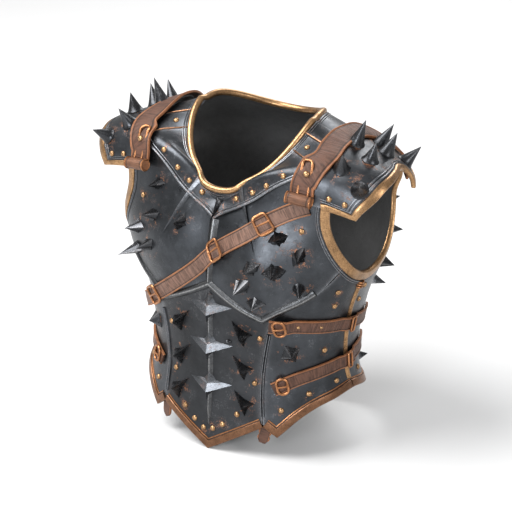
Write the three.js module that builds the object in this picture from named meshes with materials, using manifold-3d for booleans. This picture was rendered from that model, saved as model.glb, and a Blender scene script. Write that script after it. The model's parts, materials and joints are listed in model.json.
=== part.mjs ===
// Spiked steel cuirass with pauldrons, brass trims and leather straps.
// Millimetres, +Z up, the front faces -Y, the wearer's left side is at +X.
import * as THREE from "three";
import { mergeVertices } from "three/addons/utils/BufferGeometryUtils.js";
import Module from "manifold-3d";

const wasm = await Module();
wasm.setup();

// Body form, to the inner face of the steel
const bodyHeight = 458;
const bodyHalfWidth = 195;
const frontDepth = 127;
const backDepth = 158;
const pecRise = 16;

// Sheet metal and the clearance between faceted sheets that touch
const sheet = 2;
const clearance = 0.6;
const trimClearance = 1.3;
const legClearance = 1.9;
const strapClearance = 0.8;
const strapRise = 0.7;
const jointGap = 0.35;
const edgeGap = 0.7;

// Trims, beads and ridges
const trimThickness = 2.4;
const neckTrimWidth = 8;
const armTrimWidth = 9.5;
const hemTrimWidth = 8;
const pauldronTrimWidth = 8;
const lipWidth = 3;
const beadWidth = 4.5;
const beadHeight = 2.6;
const borderWidth = 11;
const borderHeight = 3;
const keelWidth = 9;
const keelHeight = 3.2;
const barbHeight = 10;
const keelSeat = 0.25;
const barbSpan = 72;
const barbLength = 42;
const seamWidth = 8;

// Leather and buckles
const leather = 3;
const shoulderStrapWidth = 32;
const chestStrapWidth = 23;
const sideStrapWidth = 20;
const buckleLength = 25;
const buckleBar = 3.6;
const rollRadius = 8;
const loopBar = 4;
const tabWidth = 17;

// Spikes and rivets
const spikeSpread = 14;
const spikeReach = 20;
const coneSpread = 10;
const coneReach = 36;
const rivetRadius = 4;
const rivetHeight = 2.6;
const seat = 1.8;

// Neck, armholes and the joints between the plates, in degrees from the front and level 0 to 1
const armhole = { bearing: 97, halfAngle: 25.5, level: 0.722, above: 0.203, below: 0.187 };
const sideSeam = 90;
const collarEnd = 68;
const lameJoint = 82;
const lameEnd = 96;
const lapLevel = 0.018;

// Seen from above, each ring is a rounded ellipse. Heights are shares of bodyHeight at 0, 45,
// 90, 135 and 180 degrees, width of bodyHalfWidth, front of frontDepth, back and middle of backDepth.
const even = (share) => new Array(5).fill(share);
const rings = [
  { level: 0.0, heights: even(0), width: 0.85, front: 1.0, back: 0.61, middle: 0.0, square: 2.2 },
  { level: 0.1, heights: even(0.105), width: 0.86, front: 0.98, back: 0.62, middle: 0.0, square: 2.2 },
  { level: 0.21, heights: even(0.223), width: 0.76, front: 0.95, back: 0.68, middle: -0.03, square: 2.2 },
  { level: 0.4, heights: even(0.426), width: 0.78, front: 0.945, back: 0.885, middle: -0.06, square: 2.3 },
  { level: 0.56, heights: even(0.596), width: 0.935, front: 0.915, back: 1.0, middle: -0.13, square: 2.4 },
  {
    level: 0.7, heights: [0.731, 0.738, 0.747, 0.747, 0.747],
    width: 1.0, front: 0.81, back: 0.975, middle: -0.14, square: 2.3,
  },
  {
    level: 0.86, heights: [0.773, 0.862, 0.88, 0.865, 0.87],
    width: 1.055, front: 0.715, back: 0.85, middle: -0.15, square: 2.2,
  },
  {
    level: 1.0, heights: [0.817, 0.862, 0.987, 0.987, 0.95],
    width: 0.445, front: 0.73, back: 0.57, middle: -0.065, square: 2.1,
  },
];
const pec = { bearing: 36, spread: 20, level: 0.6, height: 0.13 };

// Edges as bearing and level, mirrored to the other side
const hemLine = [
  [0, 0.0], [36, 0.1], [43, 0.072], [53, 0.12], [63, 0.15], [76, 0.166], [90, 0.172],
  [109, 0.15], [125, 0.142], [140, 0.1], [150, 0.045], [156, 0.0], [180, 0.0],
];
const borderLine = [
  [0, 0.487], [38, 0.41], [50, 0.45], [60, 0.482], [67, 0.515], [72, 0.555], [78, 0.6], [90, 0.7],
];
const collarLine = [
  [0, 0.69], [12, 0.722], [25, 0.75], [45, 0.788], [60, 0.838], [68, 0.875], [75, 0.925], [82, 0.945],
  [96, 0.952], [120, 0.93], [180, 0.9],
];

const blackSteel = { color: 0x3b3e42, roughness: 0.42, metalness: 0.9 };
const brightSteel = { color: 0x8d9094, roughness: 0.35, metalness: 0.95 };
const brass = { color: 0x9a7747, roughness: 0.42, metalness: 0.85 };
const copper = { color: 0xa8673a, roughness: 0.35, metalness: 0.9 };
const brownLeather = { color: 0x4a2f22, roughness: 0.6, metalness: 0.0 };

const radians = THREE.MathUtils.degToRad;
const group = new THREE.Group();

// Straight pieces between the points of an edge table
function along(line, bearing) {
  const at = Math.abs(bearing);
  const next = line.findIndex((point) => point[0] >= at);
  if (next <= 0) return line[next === 0 ? 0 : line.length - 1][1];
  const [a, b] = [line[next - 1], line[next]];
  return a[1] + ((b[1] - a[1]) * (at - a[0])) / (b[0] - a[0]);
}

// The five cosine terms that pass through a ring's five heights
function cosineTerms(heights) {
  const last = heights.length - 1;
  return heights.map((_, k) => {
    const sum = heights.reduce((total, height, j) => {
      const share = j === 0 || j === last ? 0.5 : 1;
      return total + share * height * Math.cos((k * j * Math.PI) / last);
    }, 0);
    return (sum * (k === 0 || k === last ? 1 : 2)) / last;
  });
}

const ringValues = rings.map((ring) => [
  ring.width * bodyHalfWidth,
  -ring.front * frontDepth,
  ring.back * backDepth,
  ring.middle * backDepth,
  ring.square,
  ...cosineTerms(ring.heights).map((term) => term * bodyHeight),
]);

// Slopes that carry each value smoothly from ring to ring
const ringSlopes = rings.map((ring, i) => {
  const slope = (k, j) =>
    (ringValues[j + 1][k] - ringValues[j][k]) / (rings[j + 1].level - rings[j].level);
  return ringValues[i].map((_, k) => {
    if (i === 0) return slope(k, 0);
    if (i === rings.length - 1) return slope(k, i - 1);
    const before = ring.level - rings[i - 1].level;
    const after = rings[i + 1].level - ring.level;
    return (slope(k, i - 1) * after + slope(k, i) * before) / (before + after);
  });
});

function ringAt(level) {
  let i = rings.length - 2;
  while (i > 0 && rings[i].level > level) i -= 1;
  const span = rings[i + 1].level - rings[i].level;
  const t = (level - rings[i].level) / span;
  const next = i + 1;
  return ringValues[i].map((value, k) => {
    const start = (2 * t ** 3 - 3 * t ** 2 + 1) * value;
    const leaving = (t ** 3 - 2 * t ** 2 + t) * span * ringSlopes[i][k];
    const end = (3 * t ** 2 - 2 * t ** 3) * ringValues[next][k];
    return start + leaving + end + (t ** 3 - t ** 2) * span * ringSlopes[next][k];
  });
}

const fromFront = (bearing) => Math.abs(((((bearing + 180) % 360) + 360) % 360) - 180);

function skin(bearing, level) {
  const [width, front, back, middle, square, ...terms] = ringAt(level);
  const sine = Math.sin(radians(bearing));
  const cosine = Math.cos(radians(bearing));
  const depth = cosine > 0 ? middle - front : back - middle;
  const round = Math.abs(sine / width) ** square + Math.abs(cosine / depth) ** square;
  const acrossPec = Math.exp(-(((fromFront(bearing) - pec.bearing) / pec.spread) ** 2));
  const upPec = Math.exp(-(((level - pec.level) / pec.height) ** 2));
  const radius = round ** (-1 / square) + pecRise * acrossPec * upPec;
  const z = terms.reduce((sum, term, k) => sum + term * Math.cos(k * radians(bearing)), 0);
  return new THREE.Vector3(radius * sine, middle - radius * cosine, z);
}

const bearingStep = 3;
const levelStep = 0.015;

function frameAt(bearing, level) {
  const up = Math.min(level + levelStep, 1);
  const down = Math.max(level - levelStep, 0);
  const perBearing = skin(bearing + bearingStep, level).sub(skin(bearing - bearingStep, level));
  const perLevel = skin(bearing, up).sub(skin(bearing, down));
  perBearing.divideScalar(2 * bearingStep);
  perLevel.divideScalar(up - down);
  const normal = new THREE.Vector3().crossVectors(perBearing, perLevel).normalize();
  return { point: skin(bearing, level), perBearing, perLevel, normal };
}

function surface(bearing, level, out) {
  const frame = frameAt(bearing, level);
  return frame.point.addScaledVector(frame.normal, out);
}

// The change of bearing and level that moves a spot by so many millimetres, right and up
function nudge(bearing, level, right, up) {
  const { perBearing, perLevel, normal } = frameAt(bearing, level);
  const rightward = perBearing.clone().normalize();
  const upward = new THREE.Vector3().crossVectors(normal, rightward);
  const dLevel = up / perLevel.dot(upward);
  const dBearing = (right - dLevel * perLevel.dot(rightward)) / perBearing.length();
  return [bearing + dBearing, level + dLevel];
}

// A solid from rows of points: closed rings that follow each other, with flat or fanned ends
function solidOf(points, triangles) {
  const made = (list) =>
    new wasm.Manifold(
      new wasm.Mesh({
        numProp: 3,
        vertProperties: new Float32Array(points.flatMap((p) => [p.x, p.y, p.z])),
        triVerts: new Uint32Array(list),
      }),
    );
  const solid = made(triangles);
  return solid.volume() > 0 ? solid : made([...triangles].reverse());
}

function loft(sections, closed, outline) {
  const size = sections[0].length;
  const count = sections.length;
  const points = sections.flat();
  const triangles = [];
  for (let i = 0; i < (closed ? count : count - 1); i += 1) {
    const next = (i + 1) % count;
    for (let k = 0; k < size; k += 1) {
      const a = i * size + k;
      const b = i * size + ((k + 1) % size);
      const c = next * size + k;
      const d = next * size + ((k + 1) % size);
      const shorter = points[b].distanceTo(points[c]) <= points[a].distanceTo(points[d]);
      triangles.push(...(shorter ? [a, b, c, b, d, c] : [a, b, d, a, d, c]));
    }
  }
  if (!closed) {
    const flat = outline.map(([x, y]) => new THREE.Vector2(x, y));
    const turned = THREE.ShapeUtils.isClockWise(flat);
    const last = (count - 1) * size;
    for (const face of THREE.ShapeUtils.triangulateShape(flat, [])) {
      const [a, b, c] = turned ? [face[0], face[2], face[1]] : face;
      triangles.push(a, c, b, last + a, last + b, last + c);
    }
  }
  return solidOf(points, triangles);
}

// A sheet over a grid of spots, from one distance outside the body to another. Its facets are
// split alike on both sides of the front.
function shell(columns, rows, place, inner, outer) {
  const points = [];
  const width = columns.length;
  const height = rows.length;
  for (const out of [inner, outer])
    for (const v of rows) for (const u of columns) points.push(surfaceOf(place(u, v), out));
  const at = (side, row, column) => (side * height + row) * width + column;
  const triangles = [];
  const quad = (a, b, c, d) => triangles.push(a, b, c, a, c, d);
  for (let r = 0; r < height - 1; r += 1)
    for (let c = 0; c < width - 1; c += 1) {
      const [near, far] = [c, c + 1].map((column) => fromFront(place(columns[column], rows[r])[0]));
      const around = [[r, c], [r, c + 1], [r + 1, c + 1], [r + 1, c]];
      if (far < near) around.push(around.shift());
      quad(...around.map(([row, column]) => at(1, row, column)));
      const inside = [[r, c], [r + 1, c], [r + 1, c + 1], [r, c + 1]];
      if (far < near) inside.push(inside.shift());
      quad(...inside.map(([row, column]) => at(0, row, column)));
    }
  for (let c = 0; c < width - 1; c += 1) {
    quad(at(0, 0, c), at(0, 0, c + 1), at(1, 0, c + 1), at(1, 0, c));
    const top = height - 1;
    quad(at(0, top, c + 1), at(0, top, c), at(1, top, c), at(1, top, c + 1));
  }
  for (let r = 0; r < height - 1; r += 1) {
    quad(at(0, r + 1, 0), at(0, r, 0), at(1, r, 0), at(1, r + 1, 0));
    const end = width - 1;
    quad(at(0, r, end), at(0, r + 1, end), at(1, r + 1, end), at(1, r, end));
  }
  return solidOf(points, triangles);
}

function surfaceOf([bearing, level, extra = 0], out) {
  return surface(bearing, level, out + extra);
}

const steps = (from, to, count) =>
  Array.from({ length: count + 1 }, (_, i) => from + ((to - from) * i) / count);
const mix = THREE.MathUtils.lerp;

// A section swept along spots of the surface. Its first number runs across, to the left of the
// way, and its second outwards. Points past the edge, below zero across, leave the surface straight.
function sweep(spots, sectionAt, closed = false) {
  const count = spots.length;
  const sections = spots.map(([bearing, level], i) => {
    const before = spots[closed ? (i + count - 1) % count : Math.max(i - 1, 0)];
    const after = spots[closed ? (i + 1) % count : Math.min(i + 1, count - 1)];
    const here = surface(bearing, level, 0);
    const arriving = here.clone().sub(surface(before[0], before[1], 0)).normalize();
    const leaving = surface(after[0], after[1], 0).sub(here).normalize();
    const way = arriving.clone().add(leaving).normalize();
    const { normal, perBearing } = frameAt(bearing, level);
    const across = new THREE.Vector3().crossVectors(normal, way).normalize();
    const sharp = leaving.length() && arriving.length() ? Math.max(leaving.dot(way), 0.7) : 1;
    const rightward = perBearing.clone().normalize();
    const upward = new THREE.Vector3().crossVectors(normal, rightward);
    return sectionAt(i, count).map(([a, b]) => {
      const reach = a / sharp;
      if (a < 0) return here.clone().addScaledVector(across, reach).addScaledVector(normal, b);
      const spot = nudge(bearing, level, reach * across.dot(rightward), reach * across.dot(upward));
      return surface(spot[0], spot[1], b);
    });
  });
  return loft(sections, closed, sectionAt(0, count));
}

// A band that lies on the surface, centred on its spots
function band(spots, width, inner, thickness, rise = () => 0) {
  const half = width / 2;
  const count = spots.length;
  const sections = spots.map(([bearing, level], i) => {
    const before = spots[Math.max(i - 1, 0)];
    const after = spots[Math.min(i + 1, count - 1)];
    const way = surface(after[0], after[1], 0).sub(surface(before[0], before[1], 0)).normalize();
    const { normal, perBearing } = frameAt(bearing, level);
    const across = new THREE.Vector3().crossVectors(normal, way).normalize();
    const rightward = perBearing.clone().normalize();
    const upward = new THREE.Vector3().crossVectors(normal, rightward);
    const at = (a, b) => {
      const spot = nudge(bearing, level, a * across.dot(rightward), a * across.dot(upward));
      return surface(spot[0], Math.min(spot[1], 1), b + rise(bearing, level, i / (count - 1)));
    };
    const outer = inner + thickness;
    const below = [-half, 0, half].map((a) => at(a, inner));
    return [...below, ...[half, 0, -half].map((a) => at(a, outer))];
  });
  const outline = [[-half, 0], [0, 0], [half, 0]];
  const top = [[half, thickness], [0, thickness], [-half, thickness]];
  return loft(sections, false, [...outline, ...top]);
}

// A smooth line of spots through a few chosen ones
function route(chosen, count) {
  const curve = new THREE.CatmullRomCurve3(
    chosen.map(([bearing, level]) => new THREE.Vector3(bearing, level * 100, 0)),
    false,
    "centripetal",
  );
  return curve.getSpacedPoints(count).map((p) => [p.x, p.y / 100]);
}

// The frame of a stud: its own Z leaves the surface
function standing(bearing, level, out, turn = 0) {
  const { normal, perBearing } = frameAt(bearing, level);
  const rightward = perBearing.clone().normalize();
  const upward = new THREE.Vector3().crossVectors(normal, rightward);
  const matrix = new THREE.Matrix4().makeBasis(rightward, upward, normal);
  matrix.multiply(new THREE.Matrix4().makeRotationZ(radians(turn)));
  return matrix.setPosition(surface(bearing, level, out));
}

function fromGeometry(geometry, matrix) {
  geometry.deleteAttribute("normal");
  geometry.deleteAttribute("uv");
  const merged = mergeVertices(geometry.applyMatrix4(matrix), 1e-4);
  const position = merged.getAttribute("position");
  const points = steps(0, position.count - 1, position.count - 1).map((i) =>
    new THREE.Vector3().fromBufferAttribute(position, Math.round(i)),
  );
  return solidOf(points, [...merged.index.array]);
}

// A point that rises from a base whose outline is given as radii, one for each corner
function point(matrix, radii, height, lean = [0, 0]) {
  const base = radii.map((radius, i) => {
    const angle = (i * 2 * Math.PI) / radii.length;
    return new THREE.Vector3(radius * Math.cos(angle), radius * Math.sin(angle), -seat);
  });
  const points = [...base, new THREE.Vector3(lean[0], lean[1], height), new THREE.Vector3(0, 0, -seat)];
  const triangles = radii.flatMap((_, i) => {
    const next = (i + 1) % radii.length;
    return [i, next, radii.length, next, i, radii.length + 1];
  });
  return solidOf(points.map((p) => p.applyMatrix4(matrix)), triangles);
}

function rivet(matrix) {
  return point(matrix, new Array(5).fill(rivetRadius), rivetHeight);
}

// A spike's base is a star of four rays, or a plain square
function starSpike(matrix, size, reach, square) {
  const long = spikeSpread * size;
  const corners = steps(0, 7, 7).map((i) => (i % 2 ? long / 2 : long));
  return point(matrix, square ? [long, long, long, long] : corners, spikeReach * reach);
}

function coneSpike(matrix, size = 1, reach = 1) {
  return point(matrix, new Array(6).fill(coneSpread * size), coneReach * reach);
}

const fuse = (first, others) => others.reduce((whole, other) => whole.add(other), first);

function addPiece(name, solid, look) {
  const mesh = solid.getMesh();
  const geometry = new THREE.BufferGeometry();
  geometry.setAttribute("position", new THREE.BufferAttribute(new Float32Array(mesh.vertProperties), 3));
  geometry.setIndex(new THREE.BufferAttribute(new Uint32Array(mesh.triVerts), 1));
  geometry.computeVertexNormals();
  const piece = new THREE.Mesh(geometry, new THREE.MeshStandardMaterial(look));
  piece.name = name;
  group.add(piece);
}

function mirrored(solid) {
  const mesh = solid.getMesh();
  const points = [];
  for (let i = 0; i < mesh.vertProperties.length; i += 3) {
    const [x, y, z] = mesh.vertProperties.subarray(i, i + 3);
    points.push(new THREE.Vector3(-x, y, z));
  }
  return solidOf(points, [...mesh.triVerts]);
}

function addPair(name, solid, look) {
  addPiece(name + "_left", solid, look);
  addPiece(name + "_right", mirrored(solid), look);
}

// Layers outside the body: the lower plates, the chest plate, the collar and lames, the pauldrons
const underLayer = 0;
const chestLayer = underLayer + sheet + clearance;
const collarLayer = chestLayer + sheet + clearance;
const pauldronLayer = collarLayer + sheet + trimThickness + 2 * clearance;
const onUnder = underLayer + sheet + trimClearance;
const onChest = chestLayer + sheet + trimClearance;
const onPauldron = pauldronLayer + sheet + trimClearance;
const onBelly = underLayer + sheet + clearance;
const legOnUnder = underLayer + sheet + legClearance;
const legOnChest = chestLayer + sheet + legClearance;
const legOnCollar = collarLayer + sheet + legClearance;

const armholeRounds = 24;
function armholeLine(turn) {
  const reach = Math.sin(turn) > 0 ? armhole.above : armhole.below;
  return [armhole.bearing + armhole.halfAngle * Math.cos(turn), armhole.level + reach * Math.sin(turn)];
}

// A thick curved disc that cuts an armhole through every layer
function armholeCutter() {
  const rounds = armholeRounds;
  const shares = [0.3, 0.6, 0.85, 1];
  const depth = 26;
  const centre = [armhole.bearing, armhole.level];
  const points = [];
  for (const out of [-depth, depth]) {
    points.push(surfaceOf(centre, out));
    for (const share of shares)
      for (let i = 0; i < rounds; i += 1) {
        const rim = armholeLine((2 * Math.PI * i) / rounds);
        points.push(surface(mix(centre[0], rim[0], share), mix(centre[1], rim[1], share), out));
      }
  }
  const layer = 1 + shares.length * rounds;
  const at = (face, ring, i) => face * layer + (ring < 0 ? 0 : 1 + ring * rounds + (i % rounds));
  const triangles = [];
  for (const face of [0, 1])
    for (let ring = 0; ring < shares.length; ring += 1)
      for (let i = 0; i < rounds; i += 1) {
        const [a, b] = [at(face, ring - 1, i), at(face, ring, i)];
        const [c, d] = [at(face, ring, i + 1), at(face, ring - 1, i + 1)];
        const faces = ring ? [a, b, c, a, c, d] : [a, b, c];
        triangles.push(...(face ? faces : faces.reverse()));
      }
  const rimRing = shares.length - 1;
  for (let i = 0; i < rounds; i += 1) {
    const [a, b] = [at(0, rimRing, i), at(0, rimRing, i + 1)];
    const [c, d] = [at(1, rimRing, i), at(1, rimRing, i + 1)];
    triangles.push(a, b, d, a, d, c);
  }
  return solidOf(points, triangles);
}

const cutter = armholeCutter();
const bothCutters = cutter.add(mirrored(cutter));

// The joint between the belly plate and a flank widens towards the chest
const panelJoint = (level) => 35.5 + 7 * ((level - 0.1) / 0.3) ** 2;
const lowerTop = (bearing) => Math.min(along(borderLine, bearing) + lapLevel, 0.63);

// Spikes by plate: bearing, level, shares of the spike's spread and reach, and its turn in degrees
const chestSpikes = [
  { bearing: -55, level: 0.745, spread: 0.8, reach: 0.96, turn: 15 },
  { bearing: -50, level: 0.652, spread: 0.85, reach: 0.96, turn: 30 },
  { bearing: -28, level: 0.66, spread: 0.85, reach: 0.96, turn: 70 },
  { bearing: -60, level: 0.6, spread: 0.9, reach: 1.08, turn: 10 },
  { bearing: -47, level: 0.568, spread: 0.8, reach: 0.96, turn: 50 },
  { bearing: -60, level: 0.535, spread: 0.85, reach: 1.56, turn: 0 },
  { bearing: 50, level: 0.665, spread: 0.95, reach: 1.2, turn: 20 },
  { bearing: 59, level: 0.618, spread: 0.95, reach: 1.32, turn: 60 },
  { bearing: 34, level: 0.58, spread: 0.95, reach: 1.08, turn: 30 },
  { bearing: 46, level: 0.575, spread: 1.1, reach: 1.2, turn: 10 },
  { bearing: 28, level: 0.52, spread: 1.0, reach: 1.08, turn: 45 },
  { bearing: 35, level: 0.475, spread: 0.9, reach: 0.72, turn: 0 },
  { bearing: 58, level: 0.53, spread: 0.75, reach: 1.44, turn: 25 },
];
const bellySpikes = [0.37, 0.265, 0.16].flatMap((level) => [
  { bearing: 25, level, spread: 1.0, reach: 0.9, turn: 20 },
  { bearing: -25, level, spread: 1.0, reach: 0.9, turn: -20 },
]);
const flankSpikes = [{ bearing: 53, level: 0.315, spread: 0.95, reach: 0.7, turn: 30 }];
const backSpikes = [
  { bearing: 140, level: 0.7, spread: 0.8, reach: 1.2, turn: 0 },
  { bearing: 138, level: 0.645, spread: 0.8, reach: 1.2, turn: 30 },
  { bearing: 137, level: 0.56, spread: 0.95, reach: 1.5, turn: 10 },
  { bearing: 128, level: 0.485, spread: 0.85, reach: 1.2, turn: 0 },
  { bearing: 126, level: 0.43, spread: 0.8, reach: 1.1, turn: 20 },
  { bearing: 120, level: 0.195, spread: 0.7, reach: 0.8, turn: 20 },
  { bearing: 164, level: 0.66, spread: 0.95, reach: 1.0, turn: 15 },
  { bearing: 160, level: 0.54, spread: 0.95, reach: 1.0, turn: 40 },
  { bearing: 162, level: 0.36, spread: 0.95, reach: 0.9, turn: 20 },
  { bearing: 160, level: 0.2, spread: 0.95, reach: 0.9, turn: 20 },
];

// Rivets by plate, as bearing and level, mirrored to the other side
const chestRivets = [[62, 0.692]];
const collarRivets = [[23, 0.81], [37, 0.815], [48, 0.83], [58, 0.87]];
const bellyRivets = [[4, 0.06], [11, 0.08], [19.5, 0.11], [31, 0.21], [35, 0.352]];
const flankRivets = [[46, 0.135], [62, 0.187], [80, 0.205], [73, 0.31], [76, 0.455], [76, 0.505]];
const backRivets = [[103, 0.2], [97, 0.485], [97, 0.435]];

const spikeSolids = (rows, side, out, square = false) =>
  rows.map(({ bearing, level, spread, reach, turn }) =>
    starSpike(standing(side * bearing, level, out, side * turn), spread, reach, square),
  );
const rivetSolids = (rows, signs, out) =>
  signs.flatMap((side) => rows.map(([bearing, level]) => rivet(standing(side * bearing, level, out))));

// The sheets around the neck share their columns and their rows above the collar line, so that
// the faceted layers stay parallel. Rows count 0 to 1 up to that line and 1 to 2 up to the neck.
const collarColumns = [0, 8, 16, 24, 32, 40, 50, 59, collarEnd];
const shoulderColumns = [collarEnd, 75, lameJoint, sideSeam - jointGap / 2];
const beadEnd = 1.13;
const upperRows = [1, beadEnd, 1.4, 1.7, 2];
const bothWays = (half) => [...half.slice(1).reverse().map((bearing) => -bearing), ...half];
const toNeck = (line) => (bearing, v) => {
  const middle = along(collarLine, bearing);
  return [bearing, v < 1 ? mix(along(line, bearing), middle, v) : mix(middle, 1, v - 1)];
};

// Each plate leaves a cover: what a trim on top of it has to stay clear of
const covers = {};
function coveredShell(name, columns, rows, place, layer, cutter) {
  const cut = (solid) => (cutter ? solid.subtract(cutter) : solid);
  covers[name] = cut(shell(columns, rows, place, layer - jointGap, layer + sheet + jointGap));
  return cut(shell(columns, rows, place, layer, layer + sheet));
}

const clearOf = (solid, names) => names.reduce((rest, name) => rest.subtract(covers[name]), solid);

// Under the collar the chest plate ends early, and towards the side joint it reaches the neck
function chestSpot(bearing, v) {
  const share = THREE.MathUtils.clamp((fromFront(bearing) - 50) / (collarEnd - 50), 0, 1);
  return toNeck(borderLine)(bearing, v > 1 ? 1 + (v - 1) * mix(0.4, 1, share) : v);
}

function chestPlate() {
  const columns = bothWays([...collarColumns, ...shoulderColumns.slice(1)]);
  const rows = [0, 0.2, 0.4, 0.6, 0.8, ...upperRows.slice(0, -1), 1.98];
  const outer = chestLayer + sheet;
  const plate = coveredShell("chest", columns, rows, chestSpot, chestLayer, bothCutters);
  const studs = [...spikeSolids(chestSpikes, 1, outer), ...rivetSolids(chestRivets, [1, -1], outer)];
  addPiece("chest_plate", fuse(clearOf(plate, ["collar"]), studs), blackSteel);
}

// The flank and back plates meet at the side seam in the same rows
const seamRows = [0.23, 0.29, 0.36, 0.43, 0.5];
const seamFoot = along(hemLine, sideSeam);
const seamTop = along(collarLine, sideSeam);

function bellyPlate() {
  const place = (u, v) => {
    const level = mix(along(hemLine, u * 36), along(borderLine, u * 43) + lapLevel, v);
    return [u * (panelJoint(level) - jointGap / 2), level];
  };
  const plate = coveredShell("belly", steps(-1, 1, 8), steps(0, 1, 7), place, underLayer);
  const outer = underLayer + sheet;
  const studs = [...spikeSolids(bellySpikes, 1, outer), ...rivetSolids(bellyRivets, [1, -1], outer)];
  const stub = point(standing(15, 0.335, outer, 20), [6, 4, 7, 4, 5, 4], 6);
  addPiece("belly_plate", fuse(plate.subtract(covers.chest), [...studs, stub]), blackSteel);
}

const flankShares = [0, 0.13, 0.32, 0.5, 0.75, 1];

function flankSpot(w, v) {
  const foot = along(hemLine, mix(36, sideSeam, w));
  const level = mix(foot, lowerTop(mix(43, sideSeam, w)), v);
  return [mix(panelJoint(level) + jointGap / 2, sideSeam - jointGap / 2, w), level];
}

function flankPlate() {
  const top = lowerTop(sideSeam);
  const rows = [0, ...seamRows.map((level) => (level - seamFoot) / (top - seamFoot)), 0.86, 1];
  const plate = coveredShell("flank", flankShares, rows, flankSpot, underLayer, cutter);
  const outer = underLayer + sheet;
  const studs = [...spikeSolids(flankSpikes, 1, outer), ...rivetSolids(flankRivets, [1], outer)];
  addPair("flank_plate", fuse(plate.subtract(covers.chest), studs), blackSteel);
}

const backHalf = [sideSeam + jointGap / 2, lameEnd, 109, 120, 130, 140, 148, 156, 164, 172, 180];
const backColumns = [...backHalf, ...backHalf.slice(0, -1).reverse().map((bearing) => 360 - bearing)];

function backPlate() {
  const columns = backColumns;
  const lowRows = seamRows.map((level) => (level - seamFoot) / (seamTop - seamFoot));
  const rows = [0, ...lowRows, 0.58, 0.72, 0.86, 1, 1.5, 2];
  const place = (bearing, v) => [bearing, toNeck(hemLine)(bearing > 180 ? 360 - bearing : bearing, v)[1]];
  const plate = coveredShell("back", columns, rows, place, underLayer, bothCutters);
  const outer = underLayer + sheet;
  const spikes = [1, -1].flatMap((side) => spikeSolids(backSpikes, side, outer, true));
  addPiece("back_plate", fuse(plate, [...spikes, ...rivetSolids(backRivets, [1, -1], outer)]), blackSteel);
}

// The collar's lower edge is rolled into a raised bead
function collarBand() {
  const columns = bothWays(collarColumns);
  const outer = collarLayer + sheet;
  const rows = [1, mix(1, beadEnd, 0.5), ...upperRows.slice(1)];
  const place = (bearing, v) => [...toNeck(collarLine)(bearing, v), v === rows[1] ? beadHeight : 0];
  const plate = coveredShell("collar", columns, rows, place, collarLayer);
  const star = point(standing(0, 0.772, outer), [8, 4, 8, 4, 8, 4, 11, 4], 9);
  const studs = [star, ...rivetSolids(collarRivets, [1, -1], outer)];
  addPiece("collar_band", fuse(plate, studs), blackSteel);
}

function shoulderLames() {
  const spans = { front: [collarEnd, 75, lameJoint], rear: [lameJoint, sideSeam, lameEnd] };
  for (const [place, bearings] of Object.entries(spans)) {
    const inset = [jointGap, 0, -jointGap];
    const columns = bearings.map((bearing, i) => bearing + inset[i]);
    const outer = collarLayer + sheet;
    const plate = shell(columns, upperRows, toNeck(collarLine), collarLayer, outer);
    const studs = place === "front" ? rivetSolids([[bearings[1], 0.972]], [1], outer) : [];
    addPair("shoulder_lame_" + place, fuse(plate, studs), blackSteel);
  }
}

// A rolled channel that grips an edge: its leg lies on the plate and its lip covers the edge
function edgeSection(width, seatHeight) {
  const top = seatHeight + trimThickness;
  return [
    [width, seatHeight],
    [width - 1.5, top],
    [-lipWidth * 0.5, top],
    [-lipWidth, -clearance],
    [-edgeGap, -clearance - 1],
    [-edgeGap, seatHeight],
  ];
}

function neckTrim() {
  const front = [...collarColumns, 75, lameJoint, sideSeam, lameEnd];
  const rear = [109, 120, 130, 140, 150, 160, 170, 180];
  const half = [...front, ...rear];
  const bearings = [...half, ...half.slice(1, -1).reverse().map((bearing) => -bearing)];
  const spots = bearings.map((bearing) => [bearing, 1]).reverse();
  const seatAt = ([bearing]) => (Math.abs(bearing) <= lameEnd ? legOnCollar : legOnUnder);
  const trim = sweep(spots, (i) => edgeSection(neckTrimWidth, seatAt(spots[i])), true);
  addPiece("neck_trim", trim, brass);
}

function armholeTrim() {
  const spots = steps(0, -2 * Math.PI, armholeRounds).slice(0, -1).map(armholeLine);
  const overChest = ([bearing, level]) => bearing < sideSeam + 4 && level > 0.53;
  const section = (i) => edgeSection(armTrimWidth, overChest(spots[i]) ? legOnChest : legOnUnder);
  addPair("armhole_trim", clearOf(sweep(spots, section, true), ["chest", "flank"]), brass);
}

// What reaches below the surface that the cuirass stands on is cut flat
const floor = -lipWidth + 0.6;
function cutFlat(solid) {
  const size = 4 * bodyHalfWidth;
  const block = new THREE.BoxGeometry(size, size, size);
  return solid.subtract(fromGeometry(block, new THREE.Matrix4().setPosition(0, 0, floor - size / 2)));
}

function hemTrims() {
  const hem = (bearing) => [bearing, along(hemLine, bearing > 180 ? 360 - bearing : bearing)];
  const leg = () => edgeSection(hemTrimWidth, legOnUnder);
  const belly = steps(-35.2, 35.2, 8).map(hem);
  addPiece("hem_trim_belly", cutFlat(sweep(belly, leg)), brass);
  const flank = [0.02, ...flankShares.slice(1)].map((share) => flankSpot(share, 0));
  addPair("hem_trim_flank", sweep(flank, leg), brass);
  addPiece("hem_trim_back", cutFlat(sweep(backColumns.map(hem), leg)), brass);
}

const ridgeSection = (width, inner, height) => () => [
  [-width / 2, inner],
  [width / 2, inner],
  [0, inner + height],
];

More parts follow.
